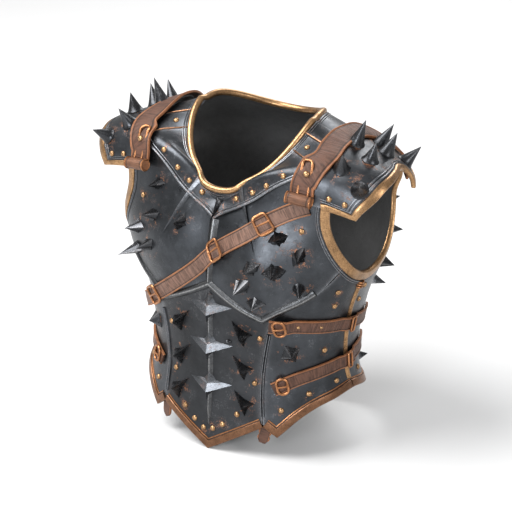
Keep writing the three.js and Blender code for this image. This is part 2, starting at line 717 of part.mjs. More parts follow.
// A ridge that lies on the surface to both sides of its line
function ridge(spots, width, inner, height) {
  const shifted = spots.map(([bearing, level], i) => {
    const before = spots[Math.max(i - 1, 0)];
    const after = spots[Math.min(i + 1, spots.length - 1)];
    const way = surface(after[0], after[1], 0).sub(surface(before[0], before[1], 0)).normalize();
    const { normal, perBearing } = frameAt(bearing, level);
    const across = new THREE.Vector3().crossVectors(normal, way).normalize();
    const rightward = perBearing.clone().normalize();
    const upward = new THREE.Vector3().crossVectors(normal, rightward);
    const offset = (a) => nudge(bearing, level, a * across.dot(rightward), a * across.dot(upward));
    const [left, right] = [offset(width / 2), offset(-width / 2)];
    return [
      surface(right[0], right[1], inner),
      surface(left[0], left[1], inner),
      surface(bearing, level, inner + height),
    ];
  });
  return loft(shifted, false, ridgeSection(width, inner, height)());
}

function beadsAndRidges() {
  const piping = steps(0.125, 0.375, 6).map((level) => [panelJoint(level), level]);
  addPair("panel_piping", ridge(piping, beadWidth + 1, onUnder, beadHeight), brightSteel);
  const seam = [0.2, ...seamRows].map((level) => [sideSeam, level]);
  addPair("side_seam", ridge(seam, seamWidth, onUnder, beadHeight), brass);
  const half = [4, 16, 27, 38, 44, 50, 57, 65];
  const raised = (bearing) => [bearing, along(borderLine, bearing) + 0.012];
  const border = [...half.map((bearing) => -bearing).reverse(), 0, ...half].map(raised);
  addPiece("chest_border", ridge(border, borderWidth, onChest, borderHeight), brightSteel);
  const keel = steps(0.525, 0.675, 6).map((level) => [0, level]);
  addPiece("chest_keel", ridge(keel, keelWidth, onChest, keelHeight), brightSteel);
}

// A barb's side from its tip to the keel, as shares of its half span and length
const barbSides = [
  { out: 0.22, up: 0.29 },
  { out: 0.56, up: 0.4 },
  { out: 1, up: 0.57 },
  { out: 0.6, up: 0.62 },
  { out: 0.28, up: 0.64 },
];

// The belly's keel carries three barbs whose wings sweep up and out, and ends in a long point
function bellyKeel() {
  const spine = ridge(steps(0.085, 0.46, 9).map((level) => [0, level]), keelWidth, onBelly, keelHeight);
  const barbs = [0.39, 0.275, 0.155].map((level) => {
    const spot = (right, up, out) => {
      const [bearing, at] = nudge(0, level, right, up);
      return surface(bearing, at, out);
    };
    const half = barbSpan / 2;
    const base = onBelly + keelSeat;
    const right = barbSides.map(({ out, up }) => [half * out, barbLength * up]);
    const left = right.map(([x, y]) => [-x, y]).reverse();
    const outline = [[0, 0], ...right, [0, barbLength], ...left];
    const low = outline.map(([right, up]) => spot(right, up, base));
    const peak = spot(0, barbLength * 0.3, base + barbHeight);
    const floorPoint = spot(0, barbLength * 0.4, base);
    const triangles = outline.flatMap((_, i) => {
      const next = (i + 1) % outline.length;
      return [i, next, outline.length, next, i, outline.length + 1];
    });
    return solidOf([...low, peak, floorPoint], triangles);
  });
  addPiece("belly_keel", clearOf(fuse(spine, barbs), ["chest"]), brightSteel);
}

// Pauldron spots front to back: at the neck side, and at the free edge with its distance outside
const pauldronRows = [
  { innerBearing: 66, innerLevel: 0.775, outerBearing: 79, outerLevel: 0.765, out: 13 },
  { innerBearing: 66, innerLevel: 0.83, outerBearing: 80.5, outerLevel: 0.788, out: 13 },
  { innerBearing: 68, innerLevel: 0.88, outerBearing: 83, outerLevel: 0.812, out: 11 },
  { innerBearing: 74, innerLevel: 0.925, outerBearing: 86, outerLevel: 0.833, out: 9 },
  { innerBearing: 84, innerLevel: 0.948, outerBearing: 89.7, outerLevel: 0.843, out: 7 },
  { innerBearing: 95, innerLevel: 0.953, outerBearing: 93.8, outerLevel: 0.85, out: 6 },
  { innerBearing: 106, innerLevel: 0.95, outerBearing: 98.3, outerLevel: 0.858, out: 5 },
  { innerBearing: 115, innerLevel: 0.93, outerBearing: 102.5, outerLevel: 0.85, out: 5 },
  { innerBearing: 120, innerLevel: 0.895, outerBearing: 104.5, outerLevel: 0.83, out: 6 },
  { innerBearing: 123, innerLevel: 0.85, outerBearing: 105, outerLevel: 0.812, out: 7 },
];

// The share under the strap lies on the shoulder, and the rest swells outwards
const pauldronSeated = 0.4;
const pauldronSwell = 1;

function pauldronSpot(u, v) {
  const place = v * (pauldronRows.length - 1);
  const i = Math.min(Math.floor(place), pauldronRows.length - 2);
  const at = (key) => mix(pauldronRows[i][key], pauldronRows[i + 1][key], place - i);
  const free = Math.max(0, (u - pauldronSeated) / (1 - pauldronSeated));
  const swell = pauldronSwell * 4 * free * (1 - free);
  const bearing = mix(at("innerBearing"), at("outerBearing"), u);
  return [bearing, mix(at("innerLevel"), at("outerLevel"), u), at("out") * free ** 1.5 + swell];
}

// Pauldron spikes and rivets by their share of the way out and of the way back
const pauldronSpikes = [
  { out: 0.22, back: 0.56, reach: 1.05 },
  { out: 0.38, back: 0.32, reach: 0.8 },
  { out: 0.54, back: 0.48, reach: 0.75 },
  { out: 0.78, back: 0.25, reach: 0.75 },
  { out: 0.36, back: 0.75, reach: 0.95 },
  { out: 0.62, back: 0.69, reach: 0.9 },
  { out: 0.64, back: 0.88, reach: 0.85 },
];
const pauldronRivets = [{ out: 0.5, back: 0.09 }, { out: 0.76, back: 0.1 }];

function pauldronStanding(u, v, out) {
  const at = (du, dv) => surfaceOf(pauldronSpot(u + du, v + dv), out);
  const step = 0.02;
  const forward = at(step, 0).sub(at(-step, 0)).normalize();
  const backward = at(0, step).sub(at(0, -step)).normalize();
  const normal = new THREE.Vector3().crossVectors(forward, backward).normalize();
  const across = new THREE.Vector3().crossVectors(normal, forward);
  return new THREE.Matrix4().makeBasis(forward, across, normal).setPosition(at(0, 0));
}

const pauldronAcross = [0, 0.25, 0.42, 0.6, 0.8, 1];
const pauldronAlong = steps(0, 1, 9);

function pauldron() {
  const outer = pauldronLayer + sheet;
  const plate = shell(pauldronAcross, pauldronAlong, pauldronSpot, pauldronLayer, outer);
  const cone = ({ out, back, reach }, size = 1) =>
    coneSpike(pauldronStanding(out, back, outer), size, reach * size);
  covers.cone = cone(pauldronSpikes[0], 1 + clearance / coneSpread);
  const spikes = pauldronSpikes.map((row) => cone(row));
  const rivets = pauldronRivets.map(({ out, back }) => rivet(pauldronStanding(out, back, outer)));
  addPair("pauldron", fuse(plate, [...spikes, ...rivets]), blackSteel);
}

// The trim follows the front, free and rear edges of the pauldron
function pauldronTrim() {
  const outward = pauldronAcross.filter((u) => u > 0.3);
  const front = outward.map((u) => [u, 0]);
  const free = pauldronAlong.slice(1, -1).map((v) => [1, v]);
  const rear = [...outward].reverse().map((u) => [u, 1]);
  const edge = [...front, ...free, ...rear];
  const trimSeat = sheet + legClearance;
  const spotOut = (u, v, out) => surfaceOf(pauldronSpot(u, v), out);
  const sections = edge.map(([u, v]) => {
    const [du, dv] = [u === 1 ? -1 : 0, v === 0 ? 1 : v === 1 ? -1 : 0];
    const here = spotOut(u, v, pauldronLayer);
    const inward = spotOut(u + 0.04 * du, v + 0.03 * dv, pauldronLayer).sub(here).normalize();
    const normal = spotOut(u, v, pauldronLayer + 1).sub(here);
    const reach = du && dv ? 1.4 : 1;
    return edgeSection(pauldronTrimWidth, trimSeat).map(([a, b]) =>
      here.clone().addScaledVector(inward, a * reach).addScaledVector(normal, b),
    );
  });
  addPair("pauldron_trim", loft(sections, false, edgeSection(pauldronTrimWidth, trimSeat)), brass);
}

// A buckle's frame and prong, lying on the surface around a spot and turned along its strap
function buckle(spot, heading, length, width, inner, withProng = true) {
  const [sine, cosine] = [Math.sin(radians(heading)), Math.cos(radians(heading))];
  const at = (x, y, out) => {
    const place = nudge(spot[0], spot[1], x * cosine - y * sine, x * sine + y * cosine);
    return surface(place[0], Math.min(place[1], 1), out);
  };
  const corner = 0.62;
  const upper = [[1, corner], [corner, 1], [-corner, 1], [-1, corner]];
  const outline = [...upper, ...upper.map(([x, y]) => [-x, -y])];
  const sections = outline.map(([x, y]) => {
    const [outerX, outerY] = [(x * length) / 2, (y * width) / 2];
    const [innerX, innerY] = [x * (length / 2 - buckleBar), y * (width / 2 - buckleBar)];
    return [
      at(innerX, innerY, inner),
      at(outerX, outerY, inner),
      at(outerX, outerY, inner + buckleBar),
      at(innerX, innerY, inner + buckleBar),
    ];
  });
  const frame = loft(sections, true, []);
  if (!withProng) return frame;
  const reach = length / 2 - buckleBar * 0.4;
  const thin = buckleBar * 0.35;
  const prong = [-reach, reach].map((x) => [
    at(x, -thin, inner + buckleBar * 0.3),
    at(x, thin, inner + buckleBar * 0.3),
    at(x, thin, inner + buckleBar),
    at(x, -thin, inner + buckleBar),
  ]);
  const square = [[-1, 0], [1, 0], [1, 1], [-1, 1]];
  return frame.add(loft(prong, false, square));
}

// How far a strap is lifted where it crosses ridges: bearing, height and half width in degrees
const lift = (crossings) => (bearing) =>
  crossings.reduce((most, [middle, height, reach]) => {
    const away = Math.abs(Math.abs(bearing) - middle) / reach;
    return Math.max(most, height * Math.max(0, Math.min(1, 2 - away)));
  }, 0);

// The way of each strap over the body, as bearing and level
const strapSpots = [
  [65, 0.8], [66.5, 0.85], [71, 0.9], [80, 0.937], [90, 0.948],
  [100, 0.946], [111, 0.935], [119, 0.905], [125, 0.85], [128, 0.79],
];

function shoulderStrap() {
  const inner = onPauldron + strapRise;
  const strap = band(route(strapSpots, 13), shoulderStrapWidth, inner, leather);
  const [start] = strapSpots;
  const [across, down] = [shoulderStrapWidth / 2 - 1, 4];
  const matrix = standing(start[0], start[1], inner + rollRadius);
  const roll = new THREE.CylinderGeometry(rollRadius, rollRadius, 2 * across, 10);
  roll.rotateZ(Math.PI / 2 - radians(8)).translate(0, -down, 0);
  addPair("shoulder_strap", clearOf(strap.add(fromGeometry(roll, matrix)), ["cone"]), brownLeather);
  const above = inner + leather + strapClearance;
  const loop = buckle([66.7, 0.845], -8, shoulderStrapWidth + 2 * loopBar, 16, above, false);
  addPair("strap_loop", loop, copper);
}

const chestStrapSpots = [
  [66, 0.766], [54, 0.732], [42, 0.7], [24, 0.645], [2, 0.585], [-14, 0.53],
  [-27, 0.483], [-40, 0.435], [-55, 0.385], [-75, 0.345], [-95, 0.34], [-115, 0.345],
];
// Places of the three buckles as shares of that strap
const chestBuckles = [0.125, 0.32, 0.61];

function chestStrap() {
  const rise = (bearing) => {
    const overKeel = lift([[0, keelHeight + jointGap, 5]])(bearing);
    const overBorder = bearing < 0 ? lift([[45, borderHeight + jointGap, 12]])(bearing) : 0;
    const overSeam = bearing < 0 ? lift([[sideSeam, strapClearance, 5]])(bearing) : 0;
    return Math.max(overKeel, overBorder, overSeam);
  };
  const count = 28;
  const spots = route(chestStrapSpots, count);
  const seatHeight = onChest + strapRise;
  addPiece("chest_strap", band(spots, chestStrapWidth, seatHeight, leather, rise), brownLeather);
  chestBuckles.forEach((at, i) => {
    const k = Math.round(at * count);
    const [before, spot, after] = [spots[k - 1], spots[k], spots[k + 1]];
    const way = surface(after[0], after[1], 0).sub(surface(before[0], before[1], 0));
    const { normal, perBearing } = frameAt(spot[0], spot[1]);
    const rightward = perBearing.clone().normalize();
    const upward = new THREE.Vector3().crossVectors(normal, rightward);
    const heading = THREE.MathUtils.radToDeg(Math.atan2(way.dot(upward), way.dot(rightward)));
    const highest = Math.max(...[before, spot, after].map(([bearing]) => rise(bearing)));
    const inner = seatHeight + leather + strapClearance + highest;
    const frame = buckle(spot, heading, buckleLength, chestStrapWidth + 2 * buckleBar + 1, inner);
    addPiece("chest_buckle_" + (i + 1), frame, copper);
  });
}

// Side straps: the upper one is on the left side alone
const sideStraps = {
  upper: {
    spots: [[42, 0.41], [60, 0.402], [76, 0.388], [92, 0.372], [106, 0.355], [122, 0.345]],
    border: borderHeight + chestLayer,
  },
  lower: {
    spots: [[43, 0.207], [56, 0.235], [70, 0.25], [89, 0.257], [106, 0.262], [120, 0.262]],
    border: 0,
  },
};

function sideStrap(kind) {
  const { spots, border } = sideStraps[kind];
  const count = 12;
  const way = route(spots, count);
  const rise = lift([[sideSeam, beadHeight + strapClearance, 4], [44, border, 6]]);
  const inner = onUnder + strapRise;
  const outer = (bearing) => inner + leather + strapClearance + rise(bearing);
  const [buckleSpot, keeperSpot] = [way[1], way[Math.round(count * 0.6)]];
  const buckleWidth = sideStrapWidth + 2 * buckleBar;
  const frame = buckle(buckleSpot, 12, buckleLength * 0.72, buckleWidth, outer(buckleSpot[0]));
  const keeper = buckle(keeperSpot, 0, 9, sideStrapWidth + 4, outer(sideSeam), false);
  const pieces = {
    ["side_strap_" + kind]: [band(way, sideStrapWidth, inner, leather, rise), brownLeather],
    ["side_buckle_" + kind]: [frame, copper],
    ["side_keeper_" + kind]: [keeper, copper],
  };
  for (const [name, [solid, look]] of Object.entries(pieces))
    if (kind === "upper") addPiece(name + "_left", solid, look);
    else addPair(name, solid, look);
}

// Torn leather tabs that hang from behind the hem at the notches
function tornTabs() {
  const inside = -(clearance + 1 + jointGap + leather);
  const ways = {
    right: [[-37, 0.15], [-37, 0.12], [-37, 0.09], [-37, 0.06], [-37.5, 0.035]],
    left: [[37, 0.15], [37, 0.12], [37, 0.09], [36, 0.07], [34.5, 0.04]],
  };
  for (const [side, way] of Object.entries(ways))
    addPiece("torn_tab_" + side, band(way, tabWidth, inside, leather), brownLeather);
}

collarBand();
chestPlate();
bellyPlate();
flankPlate();
backPlate();
shoulderLames();
neckTrim();
armholeTrim();
hemTrims();
beadsAndRidges();
bellyKeel();
pauldron();
pauldronTrim();
shoulderStrap();
chestStrap();
for (const kind of Object.keys(sideStraps)) sideStrap(kind);
tornTabs();

// The cuirass stands on the flat under its hem, with the middle of its whole box over the origin
const extent = new THREE.Box3().setFromObject(group);
const middle = extent.getCenter(new THREE.Vector3());
group.position.set(-middle.x, -middle.y, -extent.min.z);

export default group;
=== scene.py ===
"""Spiked steel breastplate with backplate, pauldrons, brass trims and leather straps."""
import json
import math

import bpy
import numpy as np
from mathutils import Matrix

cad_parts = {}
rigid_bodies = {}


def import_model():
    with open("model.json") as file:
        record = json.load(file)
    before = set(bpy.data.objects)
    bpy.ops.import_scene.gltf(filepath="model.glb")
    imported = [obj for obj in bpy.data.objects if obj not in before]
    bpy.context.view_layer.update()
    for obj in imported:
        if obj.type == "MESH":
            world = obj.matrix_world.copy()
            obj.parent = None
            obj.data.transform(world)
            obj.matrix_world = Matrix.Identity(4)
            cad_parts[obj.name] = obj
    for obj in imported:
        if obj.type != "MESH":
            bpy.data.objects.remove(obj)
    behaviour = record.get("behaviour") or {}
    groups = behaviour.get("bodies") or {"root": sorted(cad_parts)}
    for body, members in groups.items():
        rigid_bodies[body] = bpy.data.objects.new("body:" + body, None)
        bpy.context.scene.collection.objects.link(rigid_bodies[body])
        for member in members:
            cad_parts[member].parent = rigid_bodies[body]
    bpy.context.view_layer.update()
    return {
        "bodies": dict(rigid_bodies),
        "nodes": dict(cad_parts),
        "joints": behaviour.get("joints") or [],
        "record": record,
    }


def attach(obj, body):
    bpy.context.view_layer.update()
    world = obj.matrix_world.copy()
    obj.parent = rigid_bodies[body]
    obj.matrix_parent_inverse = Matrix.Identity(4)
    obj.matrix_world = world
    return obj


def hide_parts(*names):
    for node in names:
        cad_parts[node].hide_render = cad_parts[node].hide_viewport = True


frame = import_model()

MM = 0.001

# Body form, to the inner face of the steel, in millimetres. Each ring is a rounded ellipse:
# level, heights at 0, 45, 90, 135 and 180 degrees, half width, front, back, middle, squareness.
BODY_HEIGHT, HALF_WIDTH, FRONT_DEPTH, BACK_DEPTH, PEC_RISE = 458, 195, 127, 158, 16
RINGS = [
    (0.00, (0, 0, 0, 0, 0), 0.85, 1.0, 0.61, 0.0, 2.2),
    (0.10, (0.105,) * 5, 0.86, 0.98, 0.62, 0.0, 2.2),
    (0.21, (0.223,) * 5, 0.76, 0.95, 0.68, -0.03, 2.2),
    (0.40, (0.426,) * 5, 0.78, 0.945, 0.885, -0.06, 2.3),
    (0.56, (0.596,) * 5, 0.935, 0.915, 1.0, -0.13, 2.4),
    (0.70, (0.731, 0.738, 0.747, 0.747, 0.747), 1.0, 0.81, 0.975, -0.14, 2.3),
    (0.86, (0.773, 0.862, 0.88, 0.865, 0.87), 1.055, 0.715, 0.85, -0.15, 2.2),
    (1.00, (0.817, 0.862, 0.987, 0.987, 0.95), 0.445, 0.73, 0.57, -0.065, 2.1),
]
PEC = dict(bearing=36, spread=20, level=0.6, height=0.13)
# From the body's own origin to the frame's
SHIFT = np.array([0.0, -12.05, 2.4])

SHEET = 2.0
CHEST, COLLAR, PAULDRON = 2.6, 5.2, 10.8
ARMHOLE = dict(bearing=97.0, half=25.5, level=0.722, above=0.203, below=0.187)
SIDE_SEAM, COLLAR_END, LAME_JOINT, LAME_END = 90.0, 68.0, 82.0, 96.0

HEM_LINE = [
    (0, 0.0), (36, 0.1), (43, 0.072), (53, 0.12), (63, 0.15), (76, 0.166), (90, 0.172),
    (109, 0.15), (125, 0.142), (140, 0.1), (150, 0.045), (156, 0.0), (180, 0.0),
]
HEM_CORNERS = (36, 43, 156)
BORDER_LINE = [
    (0, 0.487), (38, 0.41), (50, 0.45), (60, 0.482), (67, 0.515), (72, 0.555), (78, 0.6), (90, 0.7),
]
BORDER_CORNERS = (38,)
COLLAR_LINE = [
    (0, 0.69), (12, 0.722), (25, 0.75), (45, 0.788), (60, 0.838), (68, 0.875), (75, 0.925),
    (82, 0.945), (96, 0.952), (120, 0.93), (180, 0.9),
]


def cosine_terms(heights):
    last = len(heights) - 1
    terms = []
    for k in range(last + 1):
        total = sum(
            (0.5 if j in (0, last) else 1) * h * math.cos(k * j * math.pi / last)
            for j, h in enumerate(heights)
        )
        terms.append(total * (1 if k in (0, last) else 2) / last)
    return terms


RING_LEVELS = np.array([ring[0] for ring in RINGS])
RING_VALUES = np.array([
    [w * HALF_WIDTH, -f * FRONT_DEPTH, b * BACK_DEPTH, m * BACK_DEPTH, n]
    + [t * BODY_HEIGHT for t in cosine_terms(heights)]
    for _, heights, w, f, b, m, n in RINGS
])


def smooth_line(xs, rows, at):
    """Values at the places asked for, on smooth lines through the rows of values at xs."""
    step = np.diff(xs)
    rise = np.diff(rows, axis=0) / step[:, None]
    inner = rise[:-1] * step[1:, None] + rise[1:] * step[:-1, None]
    inner = inner / (step[1:] + step[:-1])[:, None]
    rates = np.vstack([rise[:1], inner, rise[-1:]])
    i = np.clip(np.searchsorted(xs, at, side="right") - 1, 0, len(xs) - 2)
    span = xs[i + 1] - xs[i]
    t = ((at - xs[i]) / span)[..., None]
    span = span[..., None]
    start = (2 * t**3 - 3 * t**2 + 1) * rows[i] + (t**3 - 2 * t**2 + t) * span * rates[i]
    return start + (3 * t**2 - 2 * t**3) * rows[i + 1] + (t**3 - t**2) * span * rates[i + 1]


def skin(bearing, level):
    values = smooth_line(RING_LEVELS, RING_VALUES, level)
    width, front, back, middle, square = (values[..., k] for k in range(5))
    angle = np.radians(bearing)
    sine, cosine = np.sin(angle), np.cos(angle)
    depth = np.where(cosine > 0, middle - front, back - middle)
    around = (np.abs(sine / width) ** square + np.abs(cosine / depth) ** square) ** (-1 / square)
    turned = np.abs((bearing + 180) % 360 - 180)
    across = np.exp(-(((turned - PEC["bearing"]) / PEC["spread"]) ** 2))
    up = np.exp(-(((level - PEC["level"]) / PEC["height"]) ** 2))
    radius = around + PEC_RISE * across * up
    z = sum(values[..., 5 + k] * np.cos(k * angle) for k in range(5))
    return np.stack([radius * sine, middle - radius * cosine, z], -1)


def unit(v):
    return v / np.maximum(np.linalg.norm(v, axis=-1, keepdims=True), 1e-9)


def frame_at(bearing, level):
    bearing, level = np.broadcast_arrays(np.asarray(bearing, float), np.asarray(level, float))
    turn, rise = 3.0, 0.015
    up, down = np.minimum(level + rise, 1), np.maximum(level - rise, 0)
    per_bearing = (skin(bearing + turn, level) - skin(bearing - turn, level)) / (2 * turn)
    per_level = (skin(bearing, up) - skin(bearing, down)) / (up - down)[..., None]
    return skin(bearing, level), per_bearing, per_level, unit(np.cross(per_bearing, per_level))


def surface(bearing, level, out):
    point, _, _, normal = frame_at(bearing, level)
    return point + normal * np.asarray(out, float)[..., None]


def nudge(bearing, level, right, up):
    """The spot that lies so many millimetres to the right and up on the surface."""
    _, per_bearing, per_level, normal = frame_at(bearing, level)
    rightward = unit(per_bearing)
    upward = np.cross(normal, rightward)
    more_level = up / np.sum(per_level * upward, -1)
    more_bearing = right - more_level * np.sum(per_level * rightward, -1)
    more_bearing = more_bearing / np.linalg.norm(per_bearing, axis=-1)
    return bearing + more_bearing, level + more_level


def local(bearing, level, right, up, out):
    """A point by its millimetres right, up and out from a spot of the surface."""
    right, up = np.asarray(right, float), np.asarray(up, float)
    near_bearing, near_level = nudge(bearing, level, right, up)
    return surface(near_bearing, np.clip(near_level, 0, 1), out)


def curve(points, corners, at):
    """Smooth line through the points, except at its corners."""
    at = np.abs(np.asarray(at, float))
    xs, ys = (np.array(c, float) for c in zip(*points))
    result = np.interp(at, xs, ys)
    cuts = [0] + [i for i, x in enumerate(xs) if x in corners] + [len(xs) - 1]
    for first, last in zip(cuts[:-1], cuts[1:]):
        if last - first > 1:
            x, y = xs[first:last + 1], ys[first:last + 1]
            inside = (at >= x[0]) & (at <= x[-1])
            result = np.where(inside, smooth_line(x, y[:, None], at)[..., 0], result)
    return result


def folded(bearing):
    """Bearings past 180 degrees, counted the other way round."""
    return np.where(np.abs(bearing) > 180, 360 - np.abs(bearing), bearing)


def hem(bearing):
    return curve(HEM_LINE, HEM_CORNERS, folded(bearing))


def border(bearing):
    return curve(BORDER_LINE, BORDER_CORNERS, bearing)


def collar(bearing):
    return curve(COLLAR_LINE, (), folded(bearing))


def panel_joint(level):
    """Bearing of the joint of belly and flank plates."""
    return 35.5 + 7 * ((level - 0.1) / 0.3) ** 2


def circle(count, turns=1):
    return np.linspace(0, turns * 2 * np.pi, count, endpoint=False)


def way_along(points):
    """How far along the line each point lies."""
    return np.concatenate([[0], np.cumsum(np.linalg.norm(np.diff(points, axis=0), axis=1))])


# Meshes
class Parts:
    """Meshes that are gathered into one piece, with what their points say of its looks."""

    def __init__(self):
        self.points, self.faces, self.extra, self.count = [], [], {}, 0

    def add(self, points, faces, **attributes):
        points = np.asarray(points, float).reshape(-1, 3)
        self.faces += [tuple(i + self.count for i in face) for face in faces]
        self.points.append(points)
        for key, values in attributes.items():
            values = np.asarray(values, float)
            values = np.broadcast_to(values, (len(points),) + values.shape[1:])
            self.extra.setdefault(key, []).append(values)
        self.count += len(points)


def mirrored(parts):
    other = Parts()
    other.points = [points * [-1, 1, 1] for points in parts.points]
    other.faces = [face[::-1] for face in parts.faces]
    other.extra, other.count = parts.extra, parts.count
    return other


def assemble(parts, name, slot, materials=None, sharp=35):
    """Makes one piece of the object, from points in millimetres in the body's own frame."""
    mesh = bpy.data.meshes.new(name)
    placed = (np.concatenate(parts.points) + SHIFT) * MM
    placed[:, 2] = np.maximum(placed[:, 2], 0)
    mesh.from_pydata(placed.tolist(), [], parts.faces)
    for material in materials or SURFACES:
        mesh.materials.append(material)
    extra = {key: np.concatenate(values) for key, values in parts.extra.items()}
    looks = extra.pop("look")
    mesh.polygons.foreach_set("material_index", [int(looks[face[0]]) for face in parts.faces])
    for key, values in extra.items():
        single = values.ndim == 1
        layer = mesh.attributes.new(key, "FLOAT" if single else "FLOAT_VECTOR", "POINT")
        layer.data.foreach_set("value" if single else "vector", values.ravel())
    mesh.shade_smooth()
    mesh.set_sharp_from_angle(angle=math.radians(sharp))
    mesh.update()
    piece = bpy.data.objects.new(name, mesh)
    bpy.context.scene.collection.objects.link(piece)
    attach(piece, "root")
    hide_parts(name)


def pair(parts, name, slot, **options):
    assemble(parts, name + "_left", slot, **options)
    assemble(mirrored(parts), name + "_right", slot, **options)


def bar_faces(rows, sides, closed=False):
    """Quads between rings of points. The ends are capped, or joined if the bar is closed."""
    faces = []
    for i in range(rows if closed else rows - 1):
        for k in range(sides):
            a, b = i * sides + k, i * sides + (k + 1) % sides
            c, d = (i + 1) % rows * sides + k, (i + 1) % rows * sides + (k + 1) % sides
            faces.append((a, b, d, c))
    if not closed:
        faces += [tuple(range(sides))[::-1], tuple(range((rows - 1) * sides, rows * sides))]
    return faces


# A direction along which no bar starts
ASKEW = [0.13, 0.31, 0.94]


def tube(points, radius, sides=8, closed=False):
    """Round bar along points, with capped ends."""
    points = np.asarray(points, float)
    count = len(points)
    radius = np.broadcast_to(np.asarray(radius, float), (count,))
    if closed:
        way = unit(np.roll(points, -1, 0) - np.roll(points, 1, 0))
    else:
        way = unit(np.gradient(points, axis=0))
    side = np.cross(way[0], ASKEW)
    turn = circle(sides)[:, None]
    rings = []
    for i in range(count):
        side = unit(side - way[i] * np.dot(side, way[i]))
        other = np.cross(way[i], side)
        rings.append(points[i] + radius[i] * (np.cos(turn) * side + np.sin(turn) * other))
    return np.concatenate(rings), bar_faces(count, sides, closed)


def route(chosen, count):
    """Evenly spaced spots along a smooth line through a few chosen ones."""
    spots = np.array(chosen, float) * [1, 100]
    gaps = np.linalg.norm(np.diff(spots, axis=0), axis=1)
    at = np.concatenate([[0], np.cumsum(np.sqrt(gaps))])
    line = smooth_line(at, spots, np.linspace(0, at[-1], 400))
    run = way_along(line)
    even = np.linspace(0, run[-1], count + 1)
    return np.interp(even, run, line[:, 0]), np.interp(even, run, line[:, 1]) / 100


def shell_faces(quads, offset):
    """Closes a sheet: its outer quads, the same quads inside, and a rim along every free edge."""
    edges = {(q[k], q[(k + 1) % 4]) for q in quads for k in range(4)}
    rim = [(b, a, a + offset, b + offset) for a, b in edges if (b, a) not in edges]
    return [tuple(q) for q in quads] + [tuple(i + offset for i in q[::-1]) for q in quads] + rim


def plate(parts, bearing, level, layer, extra=0.0, hole=False, studs=()):
    """A sheet over a grid of spots. studs lists what scars it: bearing, level and reach in millimetres."""
    bearing, level = np.broadcast_arrays(np.asarray(bearing, float), np.asarray(level, float))
    bearing, level = bearing.copy(), level.copy()
    rows, columns = bearing.shape
    keep = np.ones((rows - 1, columns - 1), bool)
    if hole:
        for side in (1, -1):
            turned = (bearing * side + 180) % 360 - 180
            across = (turned - ARMHOLE["bearing"]) / ARMHOLE["half"]
            rise = level - ARMHOLE["level"]
            up = rise / np.where(rise > 0, ARMHOLE["above"], ARMHOLE["below"])
            reach = np.hypot(across, up)
            inside = reach < 1
            keep &= ~(inside[:-1, :-1] & inside[1:, :-1] & inside[:-1, 1:] & inside[1:, 1:])
            grow = np.where(inside, 1 / np.maximum(reach, 1e-3), 1)
            bearing += side * (grow - 1) * across * ARMHOLE["half"]
            level += (grow - 1) * rise
    inner = surface(bearing, level, layer + extra)
    outer = surface(bearing, level, layer + extra + SHEET)
    index = np.arange(rows * columns).reshape(rows, columns)
    quads = np.stack([index[:-1, :-1], index[:-1, 1:], index[1:, 1:], index[1:, :-1]], -1)[keep]
    scar = np.zeros((rows, columns))
    for spot_bearing, spot_level, reach in studs:
        distance = np.linalg.norm(outer - surface(spot_bearing, spot_level, layer), axis=-1)
        scar = np.maximum(scar, np.exp(-((distance / reach) ** 2)))
    row, column = np.meshgrid(np.arange(rows), np.arange(columns), indexing="ij")
    step_up = np.linalg.norm(np.diff(outer, axis=0), axis=-1).mean()
    step_across = np.linalg.norm(np.diff(outer, axis=1), axis=-1).mean()
    to_edge = np.minimum(
        np.minimum(row, rows - 1 - row) * step_up, np.minimum(column, columns - 1 - column) * step_across
    )
    edge = np.exp(-to_edge / 3)
    points = np.concatenate([outer.reshape(-1, 3), inner.reshape(-1, 3)])
    parts.add(
        points, shell_faces(quads.tolist(), rows * columns), scar=np.tile(scar.ravel(), 2),
        wear=np.tile(edge.ravel(), 2), look=np.repeat([STEEL_LOOK, INNER_LOOK], rows * columns),
    )


def between(bearing, low, high, rows):
    """A grid of spots, rows of them from one line up to another."""
    share = np.linspace(0, 1, rows)[:, None]
    return bearing[None] + 0 * share, low + (high - low) * share


def standing(bearing, level, out):
    """Origin and the three axes of a stud: right, up and outwards."""
    _, per_bearing, _, normal = frame_at(bearing, level)
    right = unit(per_bearing)
    return surface(bearing, level, out), right, np.cross(normal, right), normal


def stud(parts, axes, outlines, wear, look):
    """Rings of (right, up, out) millimetres that rise from a base, the last one a tip or a top."""
    origin, right, up, normal = axes
    rings = [np.asarray(ring, float) for ring in outlines]
    sides = len(rings[0])
    points = np.concatenate([
        origin + ring[:, :1] * right + ring[:, 1:2] * up + ring[:, 2:] * normal for ring in rings
    ])
    wear = np.asarray(wear, float)
    wear = wear.ravel() if wear.ndim == 2 else np.repeat(wear, sides)
    parts.add(points, bar_faces(len(rings), sides), scar=0.0, wear=wear, look=look)


def ring_of(radius, height, sides=12, turn=0.0, lean=(0, 0)):
    angle = circle(sides) + math.radians(turn)
    radius = np.broadcast_to(radius, (sides,))
    x, y = radius * np.cos(angle) + lean[0], radius * np.sin(angle) + lean[1]
    return np.stack([x, y, np.full(sides, height)], -1)


def dome(parts, axes, radius, height, foot=None):
    """A brass rivet's head. Its lowest ring is sunk, by foot where that is given."""
    tilts = (-0.2, 0, 0.35, 0.7, 1.05, 1.4)
    rings = [ring_of(radius * math.cos(a) + 0.02, height * math.sin(a)) for a in tilts]
    if foot is not None:
        rings[0] = ring_of(radius, -foot)
    # The top rings are lightened: wear and a painted highlight.
    stud(parts, axes, rings, [0, 0, 0.3, 0.6, 1, 1], BRASS_LOOK)


def rivets(parts, spots, out, side=1):
    for bearing, level in spots:
        dome(parts, standing(side * bearing, level, out), 4.2, 2.9, 0.6)


# How deep the foot of a spike is sunk in its plate
SUNK = 1.5


